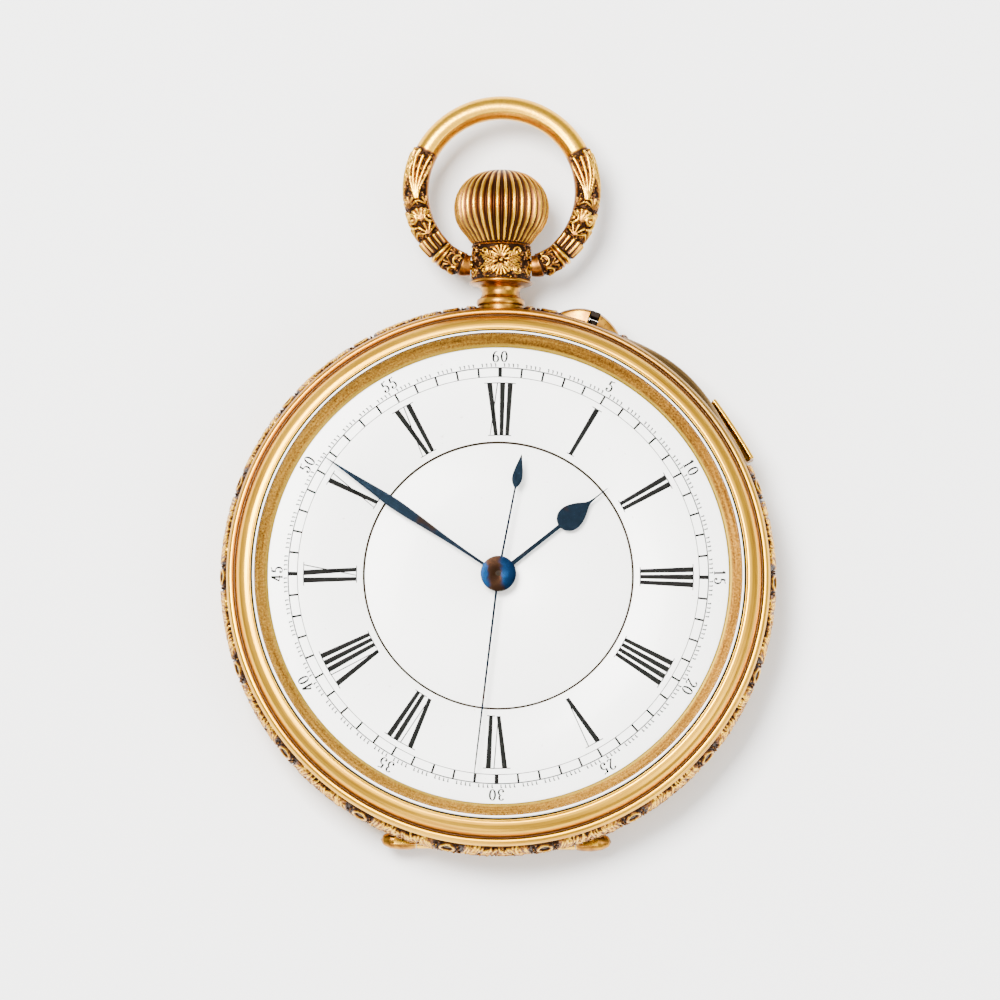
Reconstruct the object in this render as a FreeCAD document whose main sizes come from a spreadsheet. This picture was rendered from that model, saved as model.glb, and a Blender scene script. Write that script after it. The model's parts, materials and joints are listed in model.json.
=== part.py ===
import FreeCAD, Part
import math
import os
import Sketcher

# Open-face keyless pocket watch with centre seconds, lying on its back.
# +Z is the dial's normal, +Y points from the centre to 12 o'clock, the back's flat centre is at z = 0.

SIZES = [
    ("band_radius", 27.45), ("band_rim_radius", 26.9), ("band_back_z", 3.5), ("band_front_z", 8.2),
    ("case_bore", 24.0), ("ledge_bore", 22.6), ("ledge_low_z", 5.6), ("plate_back_z", 6.3),
    ("plate_front_z", 8.6), ("plate_radius", 23.4), ("neck_radius", 25.2), ("neck_z", 8.9),
    ("bezel_radius", 27.0), ("bezel_top_z", 10.4), ("bezel_window", 23.05), ("glass_radius", 24.9),
    ("glass_seat_z", 10.0), ("glass_top_z", 12.2), ("back_flat_radius", 19.0), ("back_wall", 0.45),
    ("cuvette_z", 0.85), ("cuvette_radius", 25.5), ("cuvette_wall", 0.35), ("dial_radius", 23.35),
    ("dial_top_z", 9.4), ("dial_centre_radius", 13.48), ("dial_centre_top_z", 9.28), ("dial_hole", 1.3),
    ("stem_z", 5.9), ("stem_radius", 0.5), ("pendant_radius", 3.08), ("pendant_base_radius", 2.27),
    ("pendant_root_y", 26.6), ("pendant_top_y", 33.9), ("crown_radius", 4.73), ("crown_mid_y", 37.9),
    ("crown_curve", 3.6), ("bow_pivot_y", 31.9), ("bow_centre_y", 39.4), ("bow_ring_radius", 8.515),
    ("bow_wire_radius", 1.215), ("hinge_y", -25.9), ("hinge_z", 3.0), ("hinge_radius", 0.85),
    ("hinge_pin_radius", 0.35), ("hinge_half", 10.2), ("bridge_radius", 22.2), ("bridge_back_z", 2.1),
    ("bridge_front_z", 3.0), ("barrel_x", -8.5737), ("barrel_y", 4.95), ("barrel_radius", 8.45),
    ("third_x", -3.6), ("third_y", -6.2354), ("escape_x", 4.978), ("escape_y", -4.978),
    ("pallet_x", 7.4246), ("pallet_y", -7.4246), ("balance_x", 10.253), ("balance_y", -10.253),
    ("balance_radius", 6.9), ("crown_wheel_y", 14.046), ("minute_wheel_y", -4.8),
    ("hour_hand_length", 13.95), ("minute_hand_length", 21.2), ("seconds_hand_length", 21.2),
    ("seconds_tail_length", 12.2), ("hub_radius", 1.79), ("pillar_radius", 1.1), ("screw_radius", 0.5),
    ("jewel_radius", 0.6), ("pivot_radius", 0.12), ("slide_radius", 28.3), ("guard_radius", 29.0),
]
VALUE = dict(SIZES)

doc = FreeCAD.newDocument("PocketWatch")
sheet = doc.addObject("Spreadsheet::Sheet", "Dims")
for row, (alias, number) in enumerate(SIZES, start=1):
    sheet.set(f"A{row}", alias)
    sheet.set(f"B{row}", str(number))
    sheet.setAlias(f"B{row}", alias)
doc.recompute()

NODES = {}


def number(token):
    """A size is a plain number, an alias, or (alias, offset) or (alias, offset, factor)."""
    if isinstance(token, str):
        return VALUE[token]
    if isinstance(token, tuple):
        factor = token[2] if len(token) == 3 else 1.0
        return VALUE[token[0]] * factor + token[1]
    return float(token)


def expression(token):
    if isinstance(token, str):
        return f"Dims.{token}"
    if isinstance(token, tuple):
        factor = token[2] if len(token) == 3 else 1.0
        return f"Dims.{token[0]} * {factor:.6f} + {token[1]:.6f}"
    return None


def bind(obj, prop, token):
    """Set a property to a number, or tie it to the sheet."""
    rule = expression(token)
    if rule:
        obj.setExpression(prop, rule)
    elif "." not in prop:
        setattr(obj, prop, number(token))


def move(obj, at, turn=None):
    base = FreeCAD.Vector(*[number(token) for token in at])
    spin = FreeCAD.Rotation(*turn) if turn else FreeCAD.Rotation()
    obj.Placement = FreeCAD.Placement(base, spin)
    for axis, token in zip("xyz", at):
        if expression(token):
            obj.setExpression(f"Placement.Base.{axis}", expression(token))


def polygon_sketch(body, name, role, points, expressions=True):
    """A closed polygon on one of the body's origin planes, each corner held by two distances."""
    sketch = body.newObject("Sketcher::SketchObject", name)
    plane = [item for item in body.Origin.OriginFeatures if item.Role == role][0]
    sketch.AttachmentSupport = [(plane, "")]
    sketch.MapMode = "FlatFace"
    corners = [FreeCAD.Vector(number(a), number(b), 0) for a, b in points]
    count = len(corners)
    for index in range(count):
        sketch.addGeometry(Part.LineSegment(corners[index], corners[(index + 1) % count]), False)
    for index in range(count):
        sketch.addConstraint(Sketcher.Constraint("Coincident", index, 2, (index + 1) % count, 1))
    for index, pair in enumerate(points):
        for kind, token in zip(("DistanceX", "DistanceY"), pair):
            rule = Sketcher.Constraint(kind, -1, 1, index, 1, number(token))
            place = sketch.addConstraint(rule)
            if expressions and expression(token):
                sketch.setExpression(f"Constraints[{place}]", expression(token))
    return sketch


def lathe(name, points, at=(0, 0, 0), turn=None):
    """A body turned about its own Z axis from a half section of (radius, height) corners."""
    body = doc.addObject("PartDesign::Body", name)
    sketch = polygon_sketch(body, f"{name}_section", "XZ_Plane", points)
    turned = body.newObject("PartDesign::Revolution", f"{name}_turned")
    turned.Profile = sketch
    turned.ReferenceAxis = (sketch, ["V_Axis"])
    turned.Angle = 360
    move(body, at, turn)
    return body


def slab(name, points, low, height, at=(0, 0, 0), turn=None):
    """A flat piece of the given outline, its lower face at height low."""
    body = doc.addObject("PartDesign::Body", name)
    sketch = polygon_sketch(body, f"{name}_outline", "XY_Plane", points)
    pad = body.newObject("PartDesign::Pad", f"{name}_pad")
    pad.Profile = sketch
    pad.Length = height
    move(body, (at[0], at[1], low), turn)
    return body


def cylinder(name, radius, height, at, turn=None):
    obj = doc.addObject("Part::Cylinder", name)
    bind(obj, "Radius", radius)
    bind(obj, "Height", height)
    move(obj, at, turn)
    return obj


def tube(name, outer, inner, height, at, turn=None):
    return lathe(name, [(inner, 0), (outer, 0), (outer, height), (inner, height)], at, turn)


def block(name, lengths, at, turn=None):
    obj = doc.addObject("Part::Box", name)
    for prop, token in zip(("Length", "Width", "Height"), lengths):
        bind(obj, prop, token)
    move(obj, at, turn)
    return obj


def cut(name, base, tools):
    joined = tools[0] if len(tools) == 1 else fuse(f"{name}_tools", tools)
    obj = doc.addObject("Part::Cut", name)
    obj.Base = base
    obj.Tool = joined
    return obj


def fuse(name, shapes):
    obj = doc.addObject("Part::MultiFuse", name)
    obj.Shapes = shapes
    return obj


def common(name, first, second):
    obj = doc.addObject("Part::Common", name)
    obj.Base = first
    obj.Tool = second
    return obj


def group(name, shapes):
    """Identical small parts kept as one node of separate solids."""
    obj = doc.addObject("Part::Compound", name)
    obj.Links = shapes
    return obj


def node(name, obj):
    obj.Label = name
    NODES[name] = obj
    return obj


def ring_spot(radius, degrees):
    angle = math.radians(degrees)
    return radius * math.cos(angle), radius * math.sin(angle)


ALONG_Y = (FreeCAD.Vector(1, 0, 0), -90)
ALONG_X = (FreeCAD.Vector(0, 1, 0), 90)


def gear(name, teeth, module, low, thick, bore, at, phase=0.0, spokes=0, hub=0.9, addendum=1.0):
    """A spur wheel: root disc, one tooth repeated round it, and crossings cut out between spokes."""
    pitch = teeth * module / 2
    root = pitch - 1.2 * module
    body = doc.addObject("PartDesign::Body", name)
    section = [(bore, 0), (root, 0), (root, thick), (bore, thick)]
    sketch = polygon_sketch(body, f"{name}_disc", "XZ_Plane", section)
    disc = body.newObject("PartDesign::Revolution", f"{name}_root")
    disc.Profile = sketch
    disc.ReferenceAxis = (sketch, ["V_Axis"])
    disc.Angle = 360
    sink = min(0.25 * module, 0.3 * (root - number(bore)))
    half_root = 0.33 * math.pi * module
    half_tip = 0.10 * math.pi * module
    tooth = [
        (root - sink, -half_root), (root + 0.2 * module, -half_root), (pitch + addendum * module, -half_tip),
        (pitch + addendum * module, half_tip), (root + 0.2 * module, half_root), (root - sink, half_root),
    ]
    outline = polygon_sketch(body, f"{name}_tooth", "XY_Plane", tooth)
    pad = body.newObject("PartDesign::Pad", f"{name}_tooth_pad")
    pad.Profile = outline
    pad.Length = thick
    doc.recompute()
    ring = body.newObject("PartDesign::PolarPattern", f"{name}_teeth")
    spin_axis = [item for item in body.Origin.OriginFeatures if item.Role == "Z_Axis"][0]
    ring.Originals = [pad]
    ring.Axis = (spin_axis, [""])
    ring.Angle = 360
    ring.Occurrences = teeth
    body.Tip = ring
    if spokes:
        doc.recompute()
        rim = root - 2.2 * module
        gap = math.pi / spokes
        window = []
        for step in range(5):
            turn = (step / 4 - 0.5) * 2 * (gap - 0.32 / rim)
            window.append((rim * math.cos(turn), rim * math.sin(turn)))
        for step in range(3):
            turn = (0.5 - step / 2) * 2 * max(gap - 0.34 / hub, 0.2)
            window.append((hub * math.cos(turn), hub * math.sin(turn)))
        opening = polygon_sketch(body, f"{name}_window", "XY_Plane", window)
        pocket = body.newObject("PartDesign::Pocket", f"{name}_crossing")
        pocket.Profile = opening
        pocket.Type = "ThroughAll"
        pocket.Midplane = True
        doc.recompute()
        windows = body.newObject("PartDesign::PolarPattern", f"{name}_crossings")
        windows.Originals = [pocket]
        windows.Axis = (spin_axis, [""])
        windows.Angle = 360
        windows.Occurrences = spokes
        body.Tip = windows
    move(body, (at[0], at[1], low), (FreeCAD.Vector(0, 0, 1), phase))
    return body


def facing(origin, target):
    """Direction in degrees from one wheel centre to another."""
    across = number(target[0]) - number(origin[0])
    return math.degrees(math.atan2(number(target[1]) - number(origin[1]), across))


CENTRE = (0, 0)
BARREL = ("barrel_x", "barrel_y")
THIRD = ("third_x", "third_y")
ESCAPE = ("escape_x", "escape_y")
PALLET = ("pallet_x", "pallet_y")
BALANCE = ("balance_x", "balance_y")
CROWN_WHEEL = (0, "crown_wheel_y")
MINUTE_WHEEL = (0, "minute_wheel_y")


def tooth_to(origin, target):
    return facing(origin, target)


def gap_to(origin, target, teeth):
    return facing(origin, target) + 180 / teeth


# ---- case -------------------------------------------------------------------------------------

band_section = [
    ("case_bore", "band_back_z"), ("band_rim_radius", "band_back_z"), (("band_radius", -0.2), 4.2),
    ("band_radius", 5.2), ("band_radius", 6.7), (("band_radius", -0.2), 7.6),
    ("band_rim_radius", "band_front_z"), ("neck_radius", "band_front_z"), ("neck_radius", "neck_z"),
    (("neck_radius", -0.9), "neck_z"), (("neck_radius", -0.9), "band_front_z"),
    (("plate_radius", 0.1), "band_front_z"), (("plate_radius", 0.1), "plate_back_z"),
    ("ledge_bore", "plate_back_z"), ("ledge_bore", "ledge_low_z"), ("case_bore", "ledge_low_z"),
]
band_ring = lathe("band_ring", band_section)
SLIDE_ANGLE = 32.7
SLIDE_TRAVEL = 14.0
PUSH_ANGLE = 70.6
CASE_SCREW_ANGLES = (150, 235)

hinge_notch = block("hinge_notch", (20.5, 3.2, 1.0), (-10.25, -28.0, 2.95))
stem_hole = cylinder("stem_hole", ("stem_radius", 0.05), 8, (0, 20, "stem_z"), ALONG_Y)
pendant_seat = cylinder("pendant_seat", "pendant_base_radius", 4, (0, "pendant_root_y", "stem_z"), ALONG_Y)
push_x, push_y = ring_spot(20, PUSH_ANGLE)
push_turn = (FreeCAD.Vector(-math.sin(math.radians(PUSH_ANGLE)), math.cos(math.radians(PUSH_ANGLE)), 0), 90)
push_hole = cylinder("push_hole", 0.5, 10, (push_x, push_y, 5.0), push_turn)
slide_half = math.degrees(1.1 / 25)
slot_sweep = []
for step in range(7):
    angle = SLIDE_ANGLE - slide_half + step / 6 * (SLIDE_TRAVEL + 2 * slide_half)
    slot_sweep.append(ring_spot(29, angle))
for step in range(7):
    angle = SLIDE_ANGLE - slide_half + (1 - step / 6) * (SLIDE_TRAVEL + 2 * slide_half)
    slot_sweep.append(ring_spot(23, angle))
slide_slot = slab("slide_slot", slot_sweep, 4.65, 0.75)
case_screw_holes = []
for place, angle in enumerate(CASE_SCREW_ANGLES):
    x, y = ring_spot(23.1, angle)
    case_screw_holes.append(cylinder(f"case_screw_hole_{place}", 0.36, 2.0, (x, y, 5.5)))
band_holes = [hinge_notch, stem_hole, pendant_seat, push_hole, slide_slot] + case_screw_holes
band_cut = cut("band_cut", band_ring, band_holes)


def knuckle(name, start, length):
    """One hinge barrel segment, bored for the pin with running clearance."""
    at = (start, "hinge_y", "hinge_z")
    return tube(name, "hinge_radius", ("hinge_pin_radius", 0.03), length, at, ALONG_X)


case_knuckles = [
    knuckle("case_knuckle_left", -10.2, 2.2), knuckle("case_knuckle_middle", -1.6, 3.2),
    knuckle("case_knuckle_right", 8.0, 2.2),
]
case_webs = [
    block("case_web_left", (2.2, 1.2, 0.6), (-10.2, -26.5, 3.75)),
    block("case_web_middle", (3.2, 1.2, 0.6), (-1.6, -26.5, 3.75)),
    block("case_web_right", (2.2, 1.2, 0.6), (8.0, -26.5, 3.75)),
]
node("case_band", fuse("case_band_solid", [band_cut] + case_knuckles + case_webs))

pendant_section = [
    (("stem_radius", 0.05), "pendant_root_y"), ("pendant_base_radius", "pendant_root_y"),
    ("pendant_base_radius", 28.45), (2.0, 28.65), (1.9, 29.15), (2.1, 29.6), (2.9, 29.86),
    ("pendant_radius", 29.98), ("pendant_radius", 30.22), (2.85, 30.37), (2.95, 30.9), (3.02, 31.7),
    (3.02, 32.9), (2.9, 33.65), (2.7, "pendant_top_y"), (("stem_radius", 0.05), "pendant_top_y"),
]
pendant_turned = lathe("pendant_turned", [(r, y) for r, y in pendant_section], (0, 0, "stem_z"), ALONG_Y)
bow_bore = cylinder("bow_bore", 0.53, 8, (-4, "bow_pivot_y", "stem_z"), ALONG_X)
pendant_bored = cut("pendant_bored", pendant_turned, [bow_bore])
node("pendant", pendant_bored)

bow_ring = doc.addObject("Part::Torus", "bow_ring")
bind(bow_ring, "Radius1", "bow_ring_radius")
bind(bow_ring, "Radius2", "bow_wire_radius")
BOW_GAP = 76.0
bow_ring.Angle3 = 360 - BOW_GAP
move(bow_ring, (0, "bow_centre_y", "stem_z"), (FreeCAD.Vector(0, 0, 1), -90 + BOW_GAP / 2))
bow_parts = [bow_ring]
end_x, end_y = ring_spot(VALUE["bow_ring_radius"], -90 + BOW_GAP / 2)
for side, name in ((1, "right"), (-1, "left")):
    ball = doc.addObject("Part::Sphere", f"bow_end_{name}")
    bind(ball, "Radius", "bow_wire_radius")
    move(ball, (side * end_x, ("bow_centre_y", end_y), "stem_z"))
    start = 3.12 if side > 0 else -end_x
    bow_parts.append(ball)
    foot_at = (start, "bow_pivot_y", "stem_z")
    bow_parts.append(cylinder(f"bow_foot_{name}", 0.95, end_x - 3.12, foot_at, ALONG_X))
    start = 2.0 if side > 0 else -3.4
    bow_parts.append(cylinder(f"bow_pivot_{name}", 0.5, 1.4, (start, "bow_pivot_y", "stem_z"), ALONG_X))
node("bow", fuse("bow_solid", bow_parts))

crown_arc = []
for step in range(13):
    lean = math.radians(-62.7 + step * 10.9)
    crown_arc.append((("crown_radius", -3.6 + 3.6 * math.cos(lean)), ("crown_mid_y", 3.6 * math.sin(lean))))
CROWN_BACK = ("pendant_top_y", 0.1)
crown_section = [("stem_radius", CROWN_BACK), (2.2, CROWN_BACK), (2.2, crown_arc[0][1])] + crown_arc
crown_section += [(0, ("crown_mid_y", 3.55)), (0, 35.15), ("stem_radius", 35.15)]
crown_turned = lathe("crown_turned", crown_section, (0, 0, "stem_z"), ALONG_Y)
RIB_COUNT = 34
flutes = []
for step in range(RIB_COUNT):
    flute = doc.addObject("Part::Torus", f"crown_flute_{step}")
    bind(flute, "Radius1", ("crown_curve", 0.06))
    flute.Radius2 = 0.2
    flute.Angle3 = 116
    across = FreeCAD.Rotation(FreeCAD.Vector(0, 1, 0), step * 360 / RIB_COUNT)
    flat = FreeCAD.Rotation(FreeCAD.Vector(0, 0, 1), -58)
    offset = across.multVec(FreeCAD.Vector(VALUE["crown_radius"] - VALUE["crown_curve"], 0, 0))
    flute.Placement = FreeCAD.Placement(
        FreeCAD.Vector(offset.x, VALUE["crown_mid_y"], VALUE["stem_z"] + offset.z), across.multiply(flat))
    flute.setExpression("Placement.Base.y", "Dims.crown_mid_y")
    flutes.append(flute)
crown_flutes = group("crown_flutes", flutes)
node("crown", cut("crown_solid", crown_turned, [crown_flutes]))

stem_section = [
    (0, 16.4), (0.3, 16.4), (0.3, 17.0), ("stem_radius", 17.0), ("stem_radius", 35.1), (0, 35.1),
]
node("winding_stem", lathe("winding_stem_turned", stem_section, (0, 0, "stem_z"), ALONG_Y))

PINION_Y = 17.85
winding_pinion = gear("winding_pinion_solid", 14, 0.2333, 0, 0.8, "stem_radius", CENTRE, 0, addendum=0.85)
winding_pinion.Placement = FreeCAD.Placement(
    FreeCAD.Vector(0, PINION_Y, VALUE["stem_z"]), FreeCAD.Rotation(FreeCAD.Vector(1, 0, 0), -90))
winding_pinion.setExpression("Placement.Base.z", "Dims.stem_z")
node("winding_pinion", winding_pinion)

bezel_section = [
    (("neck_radius", 0.05), ("band_front_z", 0.02)), (("bezel_radius", -0.05), ("band_front_z", 0.02)),
    ("bezel_radius", 8.5), (("bezel_radius", -0.05), 8.8), (("bezel_radius", -0.22), 9.08),
    (("bezel_radius", -0.42), 9.18), (("bezel_radius", -0.56), 9.02), (("bezel_radius", -0.66), 9.12),
    (("bezel_radius", -0.8), 9.6), (("bezel_radius", -1.1), 10.0), (("bezel_radius", -1.6), 10.28),
    ("glass_radius", "bezel_top_z"), ("glass_radius", "glass_seat_z"),
    (("glass_radius", -0.85), "glass_seat_z"),
    ("bezel_window", 9.58), ("bezel_window", 9.46), (23.75, 9.46), (23.75, ("neck_z", 0.05)),
    (("neck_radius", 0.05), ("neck_z", 0.05)),
]
node("bezel", lathe("bezel_turned", bezel_section))

glass_section = [
    (24.05, "glass_seat_z"), ("glass_radius", "glass_seat_z"), ("glass_radius", ("glass_seat_z", 0.5)),
    (24.1, 11.35), (20, 11.78), (12, 12.09), (5, 12.18), (0, "glass_top_z"), (0, 11.65), (5, 11.63),
    (12, 11.54),
    (20, 11.23), (23.5, 10.92),
]
node("crystal", lathe("crystal_turned", glass_section))

cover_section = [
    (0, 0), ("back_flat_radius", 0), (22.5, 0.35), (25.0, 1.15), (26.5, 2.4), ("band_rim_radius", 3.44),
    (("band_rim_radius", -0.5), 3.44), (26.05, 2.6), (24.7, 1.55), (22.3, 0.8), (18.9, "back_wall"),
    (0, "back_wall"),
]
cover_turned = lathe("cover_turned", cover_section)
cover_notch = block("cover_notch", (24, 4, 6), (-12, -28.8, -1))
cover_cut = cut("cover_cut", cover_turned, [cover_notch])
cover_parts = [cover_cut]
for side, start in (("left", -7.9), ("right", 5.1)):
    cover_parts.append(knuckle(f"cover_knuckle_{side}", start, 2.8))
    cover_parts.append(block(f"cover_web_{side}", (2.8, 1.3, 0.7), (start, -25.6, 1.75)))
    cover_parts.append(block(f"cover_rise_{side}", (2.8, 0.5, 0.75), (start, -26.1, 1.75)))
cover_bore = cylinder("cover_bore", ("hinge_pin_radius", 0.03), 21, (-10.5, "hinge_y", "hinge_z"), ALONG_X)
cover_joined = fuse("cover_joined", cover_parts)
node("back_cover", cut("back_cover_solid", cover_joined, [cover_bore]))

cuvette_section = [
    (0, "cuvette_z"), (18.5, "cuvette_z"), (21.8, 1.2), (24.0, 1.95), (25.1, 2.9), ("cuvette_radius", 3.44),
    (("cuvette_radius", -0.4), 3.44), (24.75, 3.05), (23.75, 2.25), (21.6, 1.56),
    (18.4, ("cuvette_z", 0.35)), (0, ("cuvette_z", 0.35)),
]
cuvette_turned = lathe("cuvette_turned", cuvette_section)
cuvette_notch = block("cuvette_notch", (16, 3, 6), (-8, -27.6, -1))
cuvette_cut = cut("cuvette_cut", cuvette_turned, [cuvette_notch])
cuvette_parts = [cuvette_cut]
for side, start in (("left", -5.0), ("right", 1.7)):
    cuvette_parts.append(knuckle(f"cuvette_knuckle_{side}", start, 3.3))
    cuvette_parts.append(block(f"cuvette_web_{side}", (3.3, 1.3, 0.45), (start, -25.5, 2.75)))
cuvette_bore = cylinder("cuvette_bore", ("hinge_pin_radius", 0.03), 21, (-10.5, "hinge_y", "hinge_z"),
    ALONG_X)
cuvette_joined = fuse("cuvette_joined", cuvette_parts)
node("cuvette", cut("cuvette_solid", cuvette_joined, [cuvette_bore]))
node("hinge_pin", cylinder("hinge_pin_rod", "hinge_pin_radius", 20.3, (-10.15, "hinge_y", "hinge_z"),
    ALONG_X))

push_start = ring_spot(22.9, PUSH_ANGLE)
push_body = cylinder("push_body", 0.45, 5.2, (push_start[0], push_start[1], 5.0), push_turn)
push_collar = cylinder("push_collar", 0.58, 0.4, (push_start[0], push_start[1], 5.0), push_turn)
node("push_piece", fuse("push_piece_solid", [push_body, push_collar]))

guard_outline = []
for step in range(9):
    angle = PUSH_ANGLE - 6.5 + step * 13 / 8
    swell = math.cos(math.radians((step - 4) * 22.5)) ** 0.6 if 0 < step < 8 else 0
    guard_outline.append(ring_spot(27.3 + (VALUE["guard_radius"] - 27.3) * swell, angle))
for step in range(9):
    guard_outline.append(ring_spot(26.9, PUSH_ANGLE + 6.5 - step * 13 / 8))
guard_slab = slab("guard_slab", guard_outline, 3.9, 2.9)
guard_cut = cut("guard_outside", guard_slab, [band_ring])
guard_hole = cylinder("guard_hole", 0.62, 10, (push_x, push_y, 5.0), push_turn)
node("push_guard", cut("push_guard_solid", guard_cut, [guard_hole]))


def sector(name, inner, outer, first, last, low, height, steps=8):
    """A flat piece bounded by two arcs about the watch's centre."""
    outline = [ring_spot(outer, first + (last - first) * step / steps) for step in range(steps + 1)]
    outline += [ring_spot(inner, last - (last - first) * step / steps) for step in range(steps + 1)]
    return slab(name, outline, low, height)


slide_bar = sector("slide_bar", 27.52, 28.3, SLIDE_ANGLE - 7, SLIDE_ANGLE + 7, 4.3, 2.6)
slide_shank = sector("slide_shank", 23.0, 27.9, SLIDE_ANGLE - 2.2, SLIDE_ANGLE + 2.2, 4.75, 0.55)
node("stop_slide", fuse("stop_slide_solid", [slide_bar, slide_shank]))
lever_arc = sector("lever_arc", 22.35, 22.95, -28.5, SLIDE_ANGLE + 2.2, 4.75, 0.55, 16)
lever_finger = sector("lever_finger", 20.3, 22.7, -29.5, -28.0, 3.15, 2.1, 2)
node("stop_lever", fuse("stop_lever_solid", [lever_arc, lever_finger]))

# ---- dial and hands -----------------------------------------------------------------------------

chapter_section = [
    (("dial_centre_radius", 0.03), "plate_front_z"), ("dial_radius", "plate_front_z"),
    ("dial_radius", ("dial_top_z", -0.06)), (("dial_radius", -0.25), "dial_top_z"),
    (("dial_centre_radius", 0.2), "dial_top_z"), (("dial_centre_radius", 0.03), ("dial_top_z", -0.06)),
]
node("dial_chapter_ring", lathe("chapter_turned", chapter_section))
centre_section = [
    ("dial_hole", "plate_front_z"), ("dial_centre_radius", "plate_front_z"),
    ("dial_centre_radius", ("dial_centre_top_z", -0.05)),
    (("dial_centre_radius", -0.2), "dial_centre_top_z"),
    ("dial_hole", "dial_centre_top_z"),
]
node("dial_centre", lathe("dial_centre_turned", centre_section))
DIAL_FEET = (75, 195, 315)
feet = []
for place, angle in enumerate(DIAL_FEET):
    x, y = ring_spot(19.6, angle)
    feet.append(cylinder(f"dial_foot_{place}", 0.45, 1.4, (x, y, 7.2)))
node("dial_feet", group("dial_feet_group", feet))


def hand(name, outline, low, thick, hub_radius, bore, degrees):
    """A flat hand drawn along +Y with a round hub, turned to its place on the dial."""
    blade = slab(f"{name}_blade", outline, 0, thick)
    hub = cylinder(f"{name}_hub", hub_radius, thick, (0, 0, 0))
    joined = fuse(f"{name}_joined", [blade, hub])
    hole = cylinder(f"{name}_hole", bore, 1, (0, 0, -0.4))
    solid = cut(f"{name}_solid", joined, [hole])
    move(solid, (0, 0, low), (FreeCAD.Vector(0, 0, 1), -degrees))
    return solid


def mirrored(half):
    return half + [(-x if not isinstance(x, tuple) else x, y) for x, y in reversed(half) if x != 0]


hour_half = [(0.32, 0.5), (0.28, 6.8), (0.5, 7.4), (1.05, 8.1), (1.22, 8.9), (1.05, 9.7), (0.55, 10.8),
    (0.2, 11.9)]
hour_half += [(0, "hour_hand_length")]
minute_half = [(0.16, 0.5), (0.22, 4.0), (0.38, 9.5), (0.4, 11.8), (0.25, 16.0), (0.1, 19.5),
    (0, "minute_hand_length")]
node("hour_hand", hand("hour_hand", mirrored(hour_half), 9.95, 0.15, 1.7, 1.15, 50.9))
node("minute_hand", hand("minute_hand", mirrored(minute_half), 10.35, 0.15, 1.5, 0.85, 303.8))
seconds_outline = [
    (0.12, 0), (0.1, 12.0), (0.05, 19.0), (0, "seconds_hand_length"), (-0.05, 19.0), (-0.1, 12.0),
    (-0.12, 0),
    (-0.14, -8.0), (-0.28, -9.2), (-0.5, -10.4), (-0.3, -11.6), (0, ("seconds_tail_length", 0, -1.0)),
    (0.3, -11.6), (0.5, -10.4), (0.28, -9.2), (0.14, -8.0),
]
seconds_blade = hand("seconds_hand", seconds_outline, 10.75, 0.12, "hub_radius", 0.2, 186.3)
node("seconds_hand", seconds_blade)

# ---- plates and bridges ---------------------------------------------------------------------------

plate_disc = cylinder("plate_disc", "plate_radius", ("plate_front_z", -6.3), (0, 0, "plate_back_z"))
motion_recess = cylinder("motion_recess", 8.9, 2, (0, 0, 7.6))
centre_bore = cylinder("centre_bore", 0.6, 4, (0, 0, 5.8))
pinion_pocket = block("pinion_pocket", (4.2, 1.8, 1.7), (-2.1, 17.35, 6.2))
stem_groove = cylinder("stem_groove", ("stem_radius", 0.06), 9, (0, 15.8, "stem_z"), ALONG_Y)
plate_tools = [motion_recess, centre_bore, pinion_pocket, stem_groove]
JEWEL_SPOTS = [("third", THIRD), ("escape", ESCAPE), ("pallet", PALLET), ("balance", BALANCE)]
for name, spot in JEWEL_SPOTS:
    plate_tools.append(cylinder(f"plate_seat_{name}", "jewel_radius", 0.75,
        (spot[0], spot[1], ("plate_back_z", -0.1))))
plate_tools.append(cylinder("plate_seat_barrel", 0.82, 0.9, (*BARREL, ("plate_back_z", -0.1))))
for place, angle in enumerate(DIAL_FEET):
    x, y = ring_spot(19.6, angle)
    plate_tools.append(cylinder(f"foot_hole_{place}", 0.45, 2, (x, y, 7.2)))
for place, angle in enumerate(CASE_SCREW_ANGLES):
    x, y = ring_spot(23.1, angle)
    plate_tools.append(cylinder(f"plate_screw_hole_{place}", 0.36, 1.2, (x, y, 6.2)))
crown_post = cylinder("crown_post", 1.5, 4.7, (*CROWN_WHEEL, 1.62))
minute_stud = cylinder("minute_stud", 0.35, 0.95, (*MINUTE_WHEEL, 7.55))
plate_cut = cut("plate_cut", plate_disc, plate_tools)
post_cap_hole = cylinder("post_cap_hole", 0.45, 1.8, (*CROWN_WHEEL, 1.5))
plate_joined = fuse("plate_joined", [plate_cut, crown_post, minute_stud])
node("pillar_plate", cut("pillar_plate_solid", plate_joined, [post_cap_hole]))

BARREL_PILLARS = [(-19.4, -2.2), (-8.2, 18.9), (7.4, 18.4)]
TRAIN_PILLARS = [(-14.6, -14.4), (-4.2, -19.9), (18.9, 2.2)]
COCK_FOOT = (4.6, -19.9)
PALLET_FOOT = (11.6, -3.2)
pillars = []
for place, (x, y) in enumerate(BARREL_PILLARS + TRAIN_PILLARS):
    section = [
        (0.45, 0), ("pillar_radius", 0), ("pillar_radius", 0.6), (("pillar_radius", -0.25), 0.8),
        (("pillar_radius", -0.25), 2.5), ("pillar_radius", 2.7), ("pillar_radius", 3.3), (0.45, 3.3),
    ]
    pillars.append(lathe(f"pillar_{place}", section, (x, y, "bridge_front_z")))
node("pillars", group("pillars_group", pillars))


def bridge(name, outline, tools):
    prism = slab(f"{name}_outline", outline, "bridge_back_z", 0.9)
    disc = cylinder(f"{name}_disc", "bridge_radius", 2, (0, 0, 1.6))
    flat = common(f"{name}_flat", prism, disc)
    return cut(f"{name}_solid", flat, tools)


def screw_seats(name, spots):
    seats = []
    for place, (x, y) in enumerate(spots):
        seats.append(cylinder(f"{name}_seat_{place}", "screw_radius", 2, (x, y, 1.6)))
    return seats


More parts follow.
